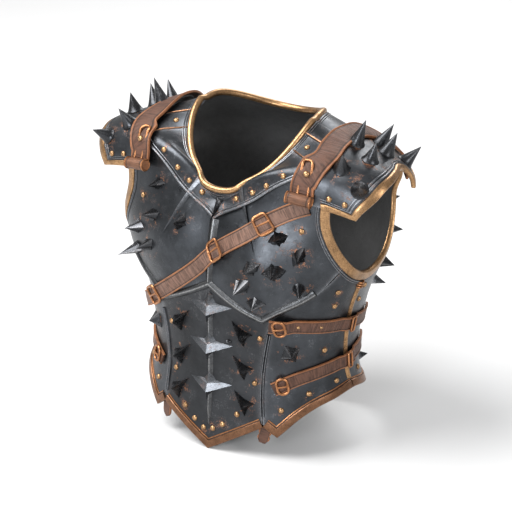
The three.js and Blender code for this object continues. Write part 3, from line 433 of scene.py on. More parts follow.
def star(parts, bearing, level, out, spread, reach, turn, rays=(1.2, 0.85, 1.05, 0.8), lean=-3):
    """A spike on a foot with four uneven rays, whose crests run up to the tip."""
    sides = 16
    angle = circle(sides)
    ray = 1 - np.abs(np.sin(angle * 2)) ** 0.8
    length = np.array(rays)[np.round(angle / (np.pi / 2)).astype(int) % 4]
    outline = length * (0.64 + 0.36 * ray)
    rings = [ring_of(spread * outline, -SUNK, sides, turn)]
    for share in (0, 0.02, 0.18, 0.38, 0.62, 0.84, 1):
        radius = spread * (1 - share) ** 1.1 * outline + 0.12
        rings.append(ring_of(radius, reach * share, sides, turn, (0, share * lean)))
    # The crests are lightened towards the tip: wear and a painted highlight.
    wear = np.outer([0, 0.5, 0.6, 0.7, 0.75, 0.9, 1, 1], ray > 0.9)
    stud(parts, standing(bearing, level, out), rings, wear, SPIKE_LOOK)


def cone(parts, axes, radius, reach):
    """A round spike with a flared foot."""
    sides = 18
    rings = [ring_of(radius * 1.05, -SUNK, sides)]
    for share in (0, 0.03, 0.1, 0.25, 0.5, 0.75, 0.93, 1):
        flare = 0.14 * math.exp(-share / 0.06)
        rings.append(ring_of(radius * ((1 - share) * 0.92 + flare) + 0.25, reach * share, sides))
    # The tip is lightened: wear and a painted highlight.
    stud(parts, axes, rings, [0, 0, 0, 0, 0.05, 0.1, 0.2, 0.6, 1], SPIKE_LOOK)


def pyramid(parts, bearing, level, out, corners, peak, hollow=0.14):
    """A faceted spike. corners are millimetres right and up, its peak right, up and out.

    hollow says how far its edges bend in between the corners.
    """
    corners = np.array(corners, float)
    count = len(corners)
    foot = np.concatenate([
        corners[i] + (corners[(i + 1) % count] - corners[i]) * np.linspace(0, 1, 4, endpoint=False)[:, None]
        for i in range(count)
    ])
    sag = hollow * np.tile([0, 0.72, 1, 0.72], count)[:, None]
    foot = foot * (1 - sag)
    sides = len(foot)
    rings = [np.c_[foot, np.full(sides, -SUNK)]]
    for share in (0, 0.33, 0.66, 0.97):
        spread = 1 - share
        rings.append(np.c_[foot * spread + np.array(peak[:2]) * share, np.full(sides, peak[2] * share)])
    # The corner crests are lightened: wear and a painted highlight.
    wear = np.outer([0, 0.5, 0.65, 0.8, 1], sag.ravel() == 0)
    stud(parts, standing(bearing, level, out), rings, wear, SPIKE_LOOK)


def way_frames(bearing, level, closed=False):
    here = surface(bearing, level, 0)
    if closed:
        arriving = unit(here - np.roll(here, 1, 0))
        leaving = unit(np.roll(here, -1, 0) - here)
    else:
        steps = unit(np.diff(here, axis=0))
        arriving = np.vstack([steps[:1], steps])
        leaving = np.vstack([steps, steps[-1:]])
    way = unit(arriving + leaving)
    _, per_bearing, _, normal = frame_at(bearing, level)
    across = unit(np.cross(normal, way))
    right = unit(per_bearing)
    up = np.cross(normal, right)
    miter = np.maximum(np.sum(leaving * way, -1), 0.7)
    return here, across, right, up, normal, miter


def sweep(parts, bearing, level, section, out, closed, look, wear, straight=False):
    """A section swept along spots: millimetres across, to the left of the way, and outwards."""
    out = np.broadcast_to(np.asarray(out, float), bearing.shape)
    here, across, right, up, normal, miter = way_frames(bearing, level, closed)
    lines = []
    for a, h in section:
        reach = a / miter
        if a < 0 or straight:
            lines.append(here + across * reach[:, None] + normal * (out + h)[:, None])
            continue
        rightward, upward = np.sum(across * right, -1), np.sum(across * up, -1)
        spots = nudge(bearing, level, reach * rightward, reach * upward)
        lines.append(surface(spots[0], np.minimum(spots[1], 1.0), out + h))
    points = np.stack(lines, 1)
    count, sides = points.shape[:2]
    wear = np.tile(np.asarray(wear, float), count)
    parts.add(points, bar_faces(count, sides, closed), scar=0.0, wear=wear, look=look)


def round_section(across, rise, radius, height=None, sides=8):
    """A round or oval section, worn bright and given a painted highlight along its top."""
    turn = circle(sides)
    height = radius if height is None else height
    section = [(across + radius * math.cos(t), rise + height * math.sin(t)) for t in turn]
    return section, [max(0.0, math.sin(t)) for t in turn]


def bead(parts, bearing, level, across, out, radius, closed=False, look=0, rise=0.2):
    section, wear = round_section(across, rise, radius)
    sweep(parts, bearing, level, section, out, closed, look, wear)


def lens(low, high, height, lip):
    """A flat band's section with rounded edges, and a lip of that depth round the plate's edge."""
    return [
        (high, -0.3), (high - 0.1, height * 0.55), (high - 1.0, height * 0.92), (high - 2.4, height),
        (low + 2.4, height), (low + 1.0, height * 0.9), (low, height * 0.35), (low, -lip),
        (low + 0.8, -lip - 1.2), (low + 2.0, -lip - 1.2), (low + 2.3, -lip), (-0.3, -0.3),
    ]


# How much each point of a band's section is lightened: wear and a painted highlight along its rounded edges.
LENS_WEAR_AND_HIGHLIGHT = [0.1, 0.3, 0.5, 0.2, 0.2, 0.6, 0.7, 0, 0, 0, 0, 0]
ARMHOLE_WEAR_AND_HIGHLIGHT = [0.1, 0.3, 0.5, 0.2, 0.2, 0.7, 0.8, 0, 0, 0, 0, 0]


# Materials. Their coordinates are millimetres in the object's own frame
class Look:
    """Builds one procedural material, with the colour that lies on top so far."""

    def __init__(self, name, color):
        self.material = bpy.data.materials.new(name)
        self.material.use_nodes = True
        self.tree = self.material.node_tree
        self.shader = self.tree.nodes["Principled BSDF"]
        self.color = color
        coordinates = self.node("ShaderNodeTexCoord")
        self.place = self.node("ShaderNodeMapping", Vector=coordinates.outputs["Object"], Scale=(1000,) * 3)

    def node(self, kind, **inputs):
        node = self.tree.nodes.new(kind)
        for name, value in inputs.items():
            self.set(node.inputs[name], value)
        return node

    def set(self, socket, value):
        if isinstance(value, bpy.types.NodeSocket):
            self.tree.links.new(value, socket)
        else:
            socket.default_value = value

    def stretched(self, scale):
        return self.node("ShaderNodeMapping", Vector=self.place.outputs[0], Scale=scale).outputs[0]

    def noise(self, scale, detail, rough, where=None, distortion=0.0):
        node = self.node(
            "ShaderNodeTexNoise", Vector=where or self.place.outputs[0], Scale=scale, Detail=detail,
            Roughness=rough, Distortion=distortion,
        )
        return node.outputs["Fac"]

    def cells(self, scale):
        node = self.node("ShaderNodeTexVoronoi", Vector=self.place.outputs[0], Scale=scale)
        return node.outputs["Distance"]

    def ramp(self, value, low, high, start=0.0, end=1.0):
        node = self.node("ShaderNodeMapRange", Value=value)
        node.clamp = True
        for name, number in zip(("From Min", "From Max", "To Min", "To Max"), (low, high, start, end)):
            node.inputs[name].default_value = number
        return node.outputs[0]

    def maths(self, kind, a, b=0.0, clamp=False):
        node = self.node("ShaderNodeMath")
        node.operation, node.use_clamp = kind, clamp
        self.set(node.inputs[0], a)
        self.set(node.inputs[1], b)
        return node.outputs[0]

    def times(self, a, b):
        return self.maths("MULTIPLY", a, b, True)

    def plus(self, a, b):
        return self.maths("ADD", a, b, True)

    def less(self, a, b):
        return self.maths("SUBTRACT", a, b, True)

    def over(self, share, color):
        """Lays another colour over the present one, by its share."""
        node = self.node("ShaderNodeMix")
        node.data_type = "RGBA"
        self.set(node.inputs[0], share)
        for socket, value in ((6, self.color), (7, color)):
            self.set(node.inputs[socket], value if isinstance(value, bpy.types.NodeSocket) else (*value, 1))
        self.color = node.outputs[2]

    def painted(self, name, output="Fac"):
        """What the mesh's points say."""
        node = self.node("ShaderNodeAttribute")
        node.attribute_name = name
        return node.outputs[output]

    def finish(self, metallic, roughness, height, strength, depth):
        self.set(self.shader.inputs["Base Color"], self.color)
        self.set(self.shader.inputs["Metallic"], metallic)
        self.set(self.shader.inputs["Roughness"], roughness)
        bump = self.node("ShaderNodeBump", Height=height, Strength=strength, Distance=depth * MM)
        self.set(self.shader.inputs["Normal"], bump.outputs[0])
        return self.material


def shade(color, share):
    return tuple(share * c for c in color)


def black_steel(name, dark, light, wear_and_highlight_color, smooth, rough, rust_share=1.0):
    """Cloudy dark steel, worn at plate edges and painted with highlights along crests and tips, with rusty
    scratches near its studs.
    """
    look = Look(name, dark)
    broad = look.noise(0.018, 5, 0.55)
    cloudy = look.noise(0.09, 6, 0.65, distortion=0.4)
    grain = look.noise(0.55, 8, 0.72)
    scratches = look.noise(0.1, 2, 0.55, look.stretched((1.5, 1.5, 0.6)), 1.2)
    cross = look.noise(0.11, 2, 0.55, look.stretched((0.8, 0.8, 1.3)), 1.6)
    patches = look.noise(0.07, 3, 0.6, look.stretched((1, 1, 1.2)))
    look.over(look.ramp(broad, 0.3, 0.72), light)
    look.over(look.ramp(cloudy, 0.48, 0.8, 0, 0.3), shade(dark, 0.6))
    look.over(look.ramp(grain, 0.56, 0.8, 0, 0.3), shade(light, 1.7))
    # The wear attribute is real wear at plate edges and a painted highlight on spike crests and tips, rivet
    # tops and bead tops; both lighten the steel here.
    wear = look.painted("wear")
    wear_and_highlight_share = look.times(wear, look.ramp(grain, 0.36, 0.62, 0.1, 1.0))
    look.over(look.times(wear_and_highlight_share, 0.75), wear_and_highlight_color)
    lines = [look.maths("ABSOLUTE", look.maths("ADD", noise, -0.5)) for noise in (scratches, cross)]
    marks = look.maths("MAXIMUM", look.ramp(lines[0], 0.022, 0.008), look.ramp(lines[1], 0.018, 0.006))
    marks = look.times(marks, look.ramp(patches, 0.53, 0.57))
    near = look.maths("MAXIMUM", look.ramp(look.painted("scar"), 0.15, 0.6), look.times(wear, 0.5))
    rust = look.times(look.times(marks, near), look.ramp(grain, 0.35, 0.55, 0.3, 1))
    rust = look.times(rust, rust_share)
    fine = look.times(marks, look.ramp(broad, 0.5, 0.6))
    look.over(look.times(fine, 0.2), wear_and_highlight_color)
    look.over(rust, RUST)
    uneven = look.ramp(grain, 0.4, 0.75, -0.05, 0.12)
    roughness = look.plus(look.ramp(cloudy, 0.3, 0.7, smooth, rough), uneven)
    height = look.plus(look.times(grain, 0.4), look.times(cloudy, 0.6))
    height = look.less(height, look.times(marks, 0.3))
    return look.finish(look.ramp(rust, 0, 1, 0.95, 0.2), roughness, height, 0.35, 0.7)


def bright_steel():
    look = Look("worn bright steel", (0.1, 0.103, 0.107))
    cloudy = look.noise(0.16, 6, 0.7, distortion=0.6)
    grain = look.noise(0.7, 8, 0.75)
    brushed = look.noise(0.9, 5, 0.7, look.stretched((1.6, 1.6, 0.14)))
    look.over(look.ramp(cloudy, 0.35, 0.65), (0.05, 0.051, 0.053))
    look.over(look.ramp(grain, 0.54, 0.7, 0, 0.8), (0.03, 0.028, 0.027))
    look.over(look.ramp(brushed, 0.58, 0.75, 0, 0.4), (0.22, 0.22, 0.22))
    # Painted highlight: the crests of ridges and barbs are lightened towards a pale grey.
    crest = look.times(look.ramp(look.painted("wear"), 0.55, 1), look.ramp(grain, 0.62, 0.45))
    look.over(look.times(crest, 0.85), (0.36, 0.36, 0.36))
    height = look.plus(look.times(grain, 0.6), look.times(brushed, 0.4))
    return look.finish(0.95, look.ramp(cloudy, 0.3, 0.7, 0.24, 0.42), height, 0.6, 0.7)


def brass(name, light, dark, pits):
    look = Look(name, light)
    cloudy = look.noise(0.1, 6, 0.7, distortion=0.5)
    grain = look.noise(0.6, 8, 0.75)
    spots = look.cells(0.34)
    look.over(look.ramp(cloudy, 0.36, 0.66), tuple(0.45 * c + 0.3 * d for c, d in zip(light, dark)))
    look.over(look.ramp(grain, 0.52, 0.66, 0, pits), dark)
    look.over(look.ramp(spots, 0.3, 0.12, 0, 0.45 * pits), dark)
    # Tops of beads, rolls, bands and rivet heads are lightened: partly real wear, partly a painted highlight.
    look.over(look.times(look.painted("wear"), look.ramp(grain, 0.6, 0.4, 0, 0.7)), shade(light, 1.35))
    height = look.plus(look.less(look.times(cloudy, 0.5), look.times(grain, 0.6)), 0.5)
    return look.finish(0.93, look.ramp(grain, 0.35, 0.7, 0.26, 0.5), height, 0.6, 0.8)


def leather(name, brown, edge_brown):
    """The attribute strap holds millimetres along and across the band, and its half width."""
    look = Look(name, shade(brown, 0.62))
    run, across, half = look.node("ShaderNodeSeparateXYZ", Vector=look.painted("strap", "Vector")).outputs
    place = look.node("ShaderNodeCombineXYZ", X=run, Y=across).outputs[0]
    pores = look.noise(1.1, 6, 0.7)
    cloudy = look.noise(0.12, 5, 0.6)
    stretched = look.node("ShaderNodeMapping", Vector=place, Scale=(0.34, 0.035, 1))
    folds = look.noise(1.0, 4, 0.6, stretched.outputs[0], 0.8)
    away = look.maths("DIVIDE", look.maths("ABSOLUTE", across), half)
    stitch = look.times(look.ramp(away, 0.66, 0.71), look.ramp(away, 0.8, 0.75))
    look.over(look.ramp(cloudy, 0.35, 0.65), brown)
    # Painted highlight: the raised crests of the wrinkles are lightened.
    look.over(look.times(look.ramp(folds, 0.47, 0.56), 0.55), shade(brown, 1.7))
    look.over(look.ramp(pores, 0.58, 0.7, 0, 0.5), shade(brown, 0.4))
    look.over(look.times(stitch, 0.75), (0.012, 0.008, 0.006))
    look.over(look.times(look.ramp(away, 0.78, 0.88), look.ramp(cloudy, 0.3, 0.6, 0.5, 1.0)), edge_brown)
    height = look.plus(look.times(folds, 0.75), look.times(pores, 0.25))
    look.shader.inputs["Specular IOR Level"].default_value = 0.25
    return look.finish(0.0, look.ramp(folds, 0.3, 0.7, 0.55, 0.42), height, 0.75, 1.6)


RUST, PALE = (0.34, 0.13, 0.048), (0.14, 0.14, 0.14)
SURFACES = [
    black_steel("blackened steel", (0.032, 0.034, 0.037), (0.072, 0.077, 0.085), (0.3, 0.31, 0.33), 0.3, 0.4),
    brass("aged brass", (0.4, 0.235, 0.115), (0.04, 0.02, 0.011), 0.95),
    black_steel(
        "dark spike steel", (0.026, 0.027, 0.029), (0.06, 0.062, 0.067), (0.24, 0.24, 0.25), 0.24, 0.36, 0.15,
    ),
    bright_steel(),
    brass("brown bronze", (0.22, 0.11, 0.06), (0.03, 0.015, 0.01), 0.9),
    brass("polished copper", (0.42, 0.19, 0.085), (0.05, 0.02, 0.012), 0.5),
    black_steel(
        "charcoal steel", (0.028, 0.029, 0.031), (0.052, 0.054, 0.058), (0.26, 0.26, 0.27), 0.36, 0.48,
    ),
    # The inner faces get paler steel than the outside: a painted light standing in for the light that reaches
    # inside the shell.
    black_steel("inner steel with painted light", (0.1, 0.1, 0.1), PALE, PALE, 0.6, 0.7, 0),
]
LEATHER = leather("brown leather", (0.078, 0.037, 0.024), (0.25, 0.1, 0.042))
STRAP_LEATHER = leather("worn chest leather", (0.125, 0.07, 0.05), (0.25, 0.105, 0.046))
ROLL_LEATHER = leather("rolled leather", (0.12, 0.055, 0.03), (0.2, 0.085, 0.04))

STEEL_LOOK, BRASS_LOOK, SPIKE_LOOK, BRIGHT_LOOK, BRONZE_LOOK, COPPER_LOOK, BELLY_LOOK, INNER_LOOK = range(8)
UNDER_TOP, CHEST_TOP, COLLAR_TOP, PAULDRON_TOP = (layer + SHEET for layer in (0, CHEST, COLLAR, PAULDRON))
LAP = 0.018
JOINT = 0.175

# Spikes: bearing, level, shares of the foot's size and of the reach, turn in degrees
SPIKE_SPREAD, SPIKE_REACH, CONE_SPREAD, CONE_REACH = 14, 20, 10, 36
CHEST_SPIKES = [
    (-55, 0.745, 0.8, 0.96, 15), (-50, 0.652, 0.85, 0.96, 30), (-28, 0.66, 0.85, 0.96, 70),
    (-60, 0.6, 0.9, 1.08, 10), (-47, 0.568, 0.8, 0.96, 50), (-60, 0.535, 0.85, 1.56, 0),
    (50, 0.665, 0.95, 1.2, 20), (59, 0.618, 0.95, 1.32, 60), (34, 0.58, 0.95, 1.08, 30),
    (46, 0.575, 1.1, 1.2, 10), (28, 0.52, 1.0, 1.08, 45), (35, 0.475, 0.9, 0.72, 0),
]
CHEST_CONE = (58, 0.53, 0.75, 1.44)
BELLY_SPIKE_LEVELS = (0.37, 0.265, 0.16)
BACK_SPIKES = [
    (140, 0.7, 0.8, 1.2, 0), (138, 0.645, 0.8, 1.2, 30), (137, 0.56, 0.95, 1.5, 10),
    (128, 0.485, 0.85, 1.2, 0), (126, 0.43, 0.8, 1.1, 20), (120, 0.195, 0.7, 0.8, 20),
    (164, 0.66, 0.95, 1.0, 15), (160, 0.54, 0.95, 1.0, 40), (162, 0.36, 0.95, 0.9, 20),
    (160, 0.2, 0.95, 0.9, 20),
]
PAULDRON_SPIKES = [
    (0.22, 0.56, 1.05), (0.38, 0.32, 0.8), (0.54, 0.48, 0.75), (0.78, 0.25, 0.75), (0.36, 0.75, 0.95),
    (0.62, 0.69, 0.9), (0.64, 0.88, 0.85),
]
CHEST_RIVETS = [(62, 0.692), (-62, 0.692)]
COLLAR_RIVETS = [
    (24, 0.808), (39, 0.808), (49, 0.825), (58, 0.865),
    (-22, 0.808), (-35, 0.812), (-46, 0.828), (-57, 0.87),
]
BELLY_RIVETS = [
    (36, 0.36), (32, 0.22), (20, 0.12), (10, 0.08), (3, 0.06), (-4, 0.055), (-11, 0.075), (-19, 0.105),
    (-30, 0.205), (-34, 0.345),
]
FLANK_RIVETS = [(46, 0.145), (62, 0.188), (80, 0.205), (73, 0.31), (76, 0.455), (76, 0.505)]
BACK_RIVETS = [(103, 0.2), (97, 0.485), (97, 0.435)]


def scars(spikes, rivets):
    """What scars a plate, and how far round it: 17 mm at a spike, 9 mm at a rivet."""
    return [(row[0], row[1], 17) for row in spikes] + [(b, l, 9) for b, l in rivets]


def chest_plate():
    parts = Parts()
    bearing = np.linspace(-90 + JOINT, 90 - JOINT, 181)
    low, high = border(bearing), np.minimum(collar(bearing) + 0.03, 0.998)
    studs = scars(CHEST_SPIKES + [CHEST_CONE], CHEST_RIVETS)
    plate(parts, *between(bearing, low, high, 72), CHEST, hole=True, studs=studs)
    for b, l, spread, reach, turn in CHEST_SPIKES:
        star(parts, b, l, CHEST_TOP, SPIKE_SPREAD * spread, SPIKE_REACH * reach, turn)
    b, l, spread, reach = CHEST_CONE
    cone(parts, standing(b, l, CHEST_TOP), CONE_SPREAD * spread * 1.05, SPIKE_REACH * reach)
    rivets(parts, CHEST_RIVETS, CHEST_TOP)
    assemble(parts, "chest_plate", "black_steel")


# A belly spike's foot has three corners, millimetres right and up, and its peak leans down
BELLY_CORNERS = [(-16, 15), (1, -21), (15, -1)]
BELLY_PEAK = (0.5, -3, 17)
BELLY_STUB = [(-5, 3), (-3, -4), (4, -4), (5, 2), (0, 5)]

def belly_plate():
    parts = Parts()
    across, share = np.linspace(-1, 1, 71)[None], np.linspace(0, 1, 90)[:, None]
    foot, top = hem(across * 36), border(across * 43) + LAP
    level = foot + (top - foot) * share
    spikes = [(side * 25, l) for l in BELLY_SPIKE_LEVELS for side in (1, -1)]
    studs = scars(spikes, BELLY_RIVETS)
    plate(parts, across * (panel_joint(level) - JOINT), level, 0, studs=studs)
    for b, l in spikes:
        side = math.copysign(1, b)
        corners = [(side * x, y) for x, y in BELLY_CORNERS][:: int(side)]
        pyramid(parts, b, l, UNDER_TOP, corners, (side * BELLY_PEAK[0], *BELLY_PEAK[1:]), 0.3)
    pyramid(parts, 15, 0.335, UNDER_TOP, BELLY_STUB, (0, 0, 5))
    rivets(parts, BELLY_RIVETS, UNDER_TOP)
    looks = parts.extra["look"]
    parts.extra["look"] = [np.where(look == STEEL_LOOK, BELLY_LOOK, look) for look in looks]
    assemble(parts, "belly_plate", "black_steel")


def flank_plates():
    parts = Parts()
    across, share = np.linspace(0, 1, 70)[None], np.linspace(0, 1, 90)[:, None]
    foot = hem(36 + (SIDE_SEAM - 36) * across)
    top = np.minimum(border(43 + (SIDE_SEAM - 43) * across) + LAP, 0.63)
    level = foot + (top - foot) * share
    first = panel_joint(level) + JOINT
    bearing = first + (SIDE_SEAM - JOINT - first) * across
    spike = 53, 0.315
    plate(parts, bearing, level, 0, hole=True, studs=scars([spike], FLANK_RIVETS))
    star(parts, *spike, UNDER_TOP, SPIKE_SPREAD * 1.1, SPIKE_REACH * 0.7, 30, (1, 1, 1, 1), 0)
    rivets(parts, FLANK_RIVETS, UNDER_TOP)
    pair(parts, "flank_plate", "black_steel")


def back_plate():
    parts = Parts()
    bearing = np.linspace(SIDE_SEAM + JOINT, 360 - SIDE_SEAM - JOINT, 181)
    studs = scars([(s * row[0], row[1]) for row in BACK_SPIKES for s in (1, -1)], BACK_RIVETS)
    plate(parts, *between(bearing, hem(bearing), 1, 110), 0, hole=True, studs=studs)
    for side in (1, -1):
        for b, l, spread, reach, turn in BACK_SPIKES:
            corners = ring_of(SPIKE_SPREAD * spread, 0, 4, side * turn)[:, :2]
            pyramid(parts, side * b, l, UNDER_TOP, corners, (0, 0, SPIKE_REACH * reach))
        rivets(parts, BACK_RIVETS, UNDER_TOP, side)
    assemble(parts, "back_plate", "black_steel")


COLLAR_STAR = [(-10.5, 10), (0, 6.5), (11, 9), (5.5, 0), (1.2, -27), (-3.6, 0)]


def collar_band():
    parts = Parts()
    bearing = np.linspace(-COLLAR_END, COLLAR_END, 121)
    foot = collar(bearing)
    studs = scars([(0, 0.77)], COLLAR_RIVETS)
    plate(parts, *between(bearing, foot, 1, 40), COLLAR, studs=studs)
    bead(parts, bearing, foot, 1.5, COLLAR_TOP, 2.3, look=STEEL_LOOK, rise=0.3)
    bead(parts, bearing, foot, 5.6, COLLAR_TOP, 0.9, look=STEEL_LOOK)
    pyramid(parts, 0, 0.785, COLLAR_TOP, COLLAR_STAR[::-1], (0, 3, 9))
    rivets(parts, COLLAR_RIVETS, COLLAR_TOP)
    assemble(parts, "collar_band", "black_steel")


def shoulder_lames():
    for place, first, last in (("front", COLLAR_END, LAME_JOINT), ("rear", LAME_JOINT, LAME_END)):
        parts = Parts()
        bearing = np.linspace(first + 0.3, last - 0.3, 24)
        plate(parts, *between(bearing, collar(bearing), 1, 30), COLLAR)
        edge = np.full(20, first + 0.3), np.linspace(1.0, float(collar(first)), 20)
        bead(parts, *edge, 1.3, COLLAR_TOP, 1.2, look=BRONZE_LOOK, rise=0.1)
        if place == "front":
            rivets(parts, [(75, 0.972)], COLLAR_TOP)
        pair(parts, "shoulder_lame_" + place, "black_steel")


def neck_trim():
    parts = Parts()
    bearing = np.linspace(360, 0, 180, endpoint=False)
    turned = np.abs((bearing + 180) % 360 - 180)
    front = np.clip((LAME_END + 3 - turned) / 5, 0, 1)
    out = UNDER_TOP + (COLLAR_TOP - UNDER_TOP) * front
    section, wear = round_section(1.6, -0.6, 4.6, 4.9, 14)
    level = np.ones_like(bearing)
    sweep(parts, bearing, level, section, out, True, BRASS_LOOK, wear, straight=True)
    _, _, per_level, _ = frame_at(bearing, level)
    rate = np.linalg.norm(per_level, axis=-1)
    # Millimetres per level, evened out over 25 spots round the neck
    window = np.hanning(25) / np.hanning(25).sum()
    rate = np.convolve(np.concatenate([rate[-12:], rate, rate[:12]]), window, "valid")
    for away, radius in ((8.2, 1.2), (11.2, 0.9)):
        bead(parts, bearing, 1 - away / rate, 0.0, out, radius, True, STEEL_LOOK)
    assemble(parts, "neck_trim", "brass")


def armhole_trims():
    parts = Parts()
    turn = circle(150, -1)
    reach = np.where(np.sin(turn) > 0, ARMHOLE["above"], ARMHOLE["below"])
    bearing = ARMHOLE["bearing"] + ARMHOLE["half"] * np.cos(turn)
    level = ARMHOLE["level"] + reach * np.sin(turn)
    over = np.clip((SIDE_SEAM + 3 - bearing) / 4, 0, 1) * np.clip((level - 0.555) / 0.02, 0, 1)
    out = UNDER_TOP + (CHEST_TOP - UNDER_TOP) * over + 0.1
    sweep(parts, bearing, level, lens(-3, 10, 2.6, 3.2), out, True, BRASS_LOOK, ARMHOLE_WEAR_AND_HIGHLIGHT)
    bead(parts, bearing, level, 12.6, out, 1.2, True, STEEL_LOOK)
    bead(parts, bearing, level, 15.2, out, 0.8, True, STEEL_LOOK)
    pair(parts, "armhole_trim", "brass")


def spaced(first, last, corners, step, clear):
    """Bearings from first to last that keep clear of the corners, with the corners themselves."""
    line = np.arange(first, last + 1e-6, step)
    line = np.array([b for b in line if all(abs(b - c) > clear for c in corners)])
    return np.unique(np.concatenate([line, [first, last], corners]))


def hem_trim(parts, bearing, level):
    sweep(parts, bearing, level, lens(-3, 8, 2.3, 2.8), UNDER_TOP + 0.1, False, BRONZE_LOOK, LENS_WEAR_AND_HIGHLIGHT)
    bead(parts, bearing, level, 9.8, UNDER_TOP, 1.0, look=COPPER_LOOK)


def hem_trims():
    for name, line in (
        ("belly", spaced(-35.2, 35.2, [0.0], 2, 3.5)),
        ("back", spaced(SIDE_SEAM + 0.2, 359.8 - SIDE_SEAM, [156.0, 204.0], 2, 3)),
    ):
        parts = Parts()
        hem_trim(parts, line, hem(line))
        assemble(parts, "hem_trim_" + name, "brass")
    flank = Parts()
    across = (spaced(36.2, SIDE_SEAM, [43.0], 2, 2.5) - 36) / (SIDE_SEAM - 36)
    level = hem(36 + (SIDE_SEAM - 36) * across)
    first = panel_joint(level) + 0.6
    hem_trim(flank, first + (SIDE_SEAM - 0.4 - first) * across, level)
    pair(flank, "hem_trim_flank", "brass")


def on_surface(parts, bearing, level, across, heights, out, look, wear=None, strap_half=None):
    """A section swept along spots, both of whose sides follow the surface."""
    across, heights = np.atleast_2d(across), np.atleast_2d(heights)
    out = np.broadcast_to(np.asarray(out, float), bearing.shape)
    here, side, right, up, _, _ = way_frames(bearing, level)
    a = np.broadcast_to(across, (len(bearing), across.shape[1]))
    h = np.broadcast_to(heights, a.shape)
    right_share, up_share = np.sum(side * right, -1)[:, None], np.sum(side * up, -1)[:, None]
    spots = nudge(bearing[:, None] + 0 * a, level[:, None] + 0 * a, a * right_share, a * up_share)
    points = surface(spots[0], np.minimum(spots[1], 1.0), out[:, None] + h)
    count, sides = a.shape
    if strap_half is None:
        options = dict(wear=np.tile(wear, count), scar=0.0)
    else:
        run = np.repeat(way_along(here), sides)
        options = dict(strap=np.stack([run, a.ravel(), np.full(a.size, strap_half)], -1))
    parts.add(points, bar_faces(count, sides), look=look, **options)


RIDGE_ACROSS = np.array([1, 0.72, 0.4, 0.12, 0, -0.12, -0.4, -0.72, -1, -0.9, 0.9])
RIDGE_HEIGHT = np.array([0, 0.36, 0.68, 0.95, 1, 0.95, 0.68, 0.36, 0, -0.1, -0.1])
ROUND_HEIGHT = np.array([0, 0.62, 0.9, 0.99, 1, 0.99, 0.9, 0.62, 0, -0.1, -0.1])
# Lightening across a ridge, most at its crest: wear and a painted highlight.
CREST_WEAR_AND_HIGHLIGHT = np.array([0, 0.1, 0.3, 0.8, 1, 0.8, 0.3, 0.1, 0, 0, 0])


def ridge(parts, bearing, level, half, height, out, look, pointed=False, offset=0.0):
    """A ridge along spots, with its half width and its height in millimetres."""
    heights = (RIDGE_HEIGHT if pointed else ROUND_HEIGHT) * height
    on_surface(parts, bearing, level, RIDGE_ACROSS * half + offset, heights, out, look, CREST_WEAR_AND_HIGHLIGHT)


def beads_and_ridges():
    piping = Parts()
    level = np.linspace(0.125, 0.375, 60)
    for offset in (-1.6, 1.6):
        ridge(piping, panel_joint(level), level, 1.5, 2.6, UNDER_TOP, STEEL_LOOK, offset=offset)
    pair(piping, "panel_piping", "bright_steel")

    seam = Parts()
    level = np.linspace(0.195, 0.515, 60)
    ridge(seam, SIDE_SEAM + 0 * level, level, 4, 3.2, UNDER_TOP, BRASS_LOOK)
    turn = np.linspace(-0.2, 3.34, 12)
    for l in (0.5, 0.508, 0.516):
        across, out = 5.5 * np.cos(turn), UNDER_TOP - 0.4 + 4.6 * np.sin(turn)
        points, faces = tube([local(SIDE_SEAM, l, a, 0, h) for a, h in zip(across, out)], 1.4)
        seam.add(points, faces, wear=0.6, scar=0.0, look=COPPER_LOOK)
    pair(seam, "side_seam", "brass")

    edge = Parts()
    bearing = np.linspace(-65, 65, 121)
    ridge(edge, bearing, border(bearing) + 0.012, 5.6, 3.4, CHEST_TOP, BRIGHT_LOOK)
    assemble(edge, "chest_border", "bright_steel")

    keel = Parts()
    level = np.linspace(0.505, 0.69, 50)
    half = np.interp(level, [0.505, 0.56, 0.69], [5.0, 6.0, 7.8])[:, None]
    ridge(keel, 0 * level, level, half, 4.6, CHEST_TOP, BRIGHT_LOOK, True)
    assemble(keel, "chest_keel", "bright_steel")


BARB_LEVELS = (0.39, 0.275, 0.155)
# A barb's right edge from tip to top, right and up, its crest with its height, and for each
# point of the whole outline the crest point that it runs up to
BARB_EDGE = [(0, -1), (4, 7), (11, 13), (22, 18), (36, 24), (22, 25), (10, 26), (4.6, 33), (0, 42)]
BARB_CREST = [(0, -1.5, 9), (0, 9, 11), (0, 22, 8.5), (0, 42, 3.8)]
BARB_NEAR = [0, 1, 1, 1, 1, 2, 2, 2, 3, 2, 2, 2, 1, 1, 1, 1]




def belly_keel():
    parts = Parts()
    level = np.linspace(0.07, 0.465, 90)
    half = np.interp(level, [0.07, 0.12, 0.3, 0.465], [0.8, 3.6, 4.6, 4.6])[:, None]
    height = np.interp(level, [0.07, 0.12, 0.465], [1.0, 4.2, 4.4])[:, None]
    ridge(parts, 0 * level, level, half, height, UNDER_TOP, BRIGHT_LOOK, True)
    outline = BARB_EDGE + [(-x, y) for x, y in BARB_EDGE[-2:0:-1]]
    count, near = len(outline), BARB_NEAR
    faces = []
    for i in range(count):
        k = (i + 1) % count
        top = (count + near[k],) if near[i] == near[k] else (count + near[k], count + near[i])
        faces.append((i, k) + top)
    # Barb crests are lightened more than their feet: wear and a painted highlight.
    wear = [0.3] * count + [0.9] * len(BARB_CREST)
    for level in BARB_LEVELS:
        low = np.array([local(0, level, x, y, UNDER_TOP - 0.3) for x, y in outline])
        crest = np.array([local(0, level, x, y, UNDER_TOP + h) for x, y, h in BARB_CREST])
        parts.add(np.concatenate([low, crest]), faces, wear=wear, scar=0.0, look=STEEL_LOOK)
    assemble(parts, "belly_keel", "bright_steel", sharp=20)


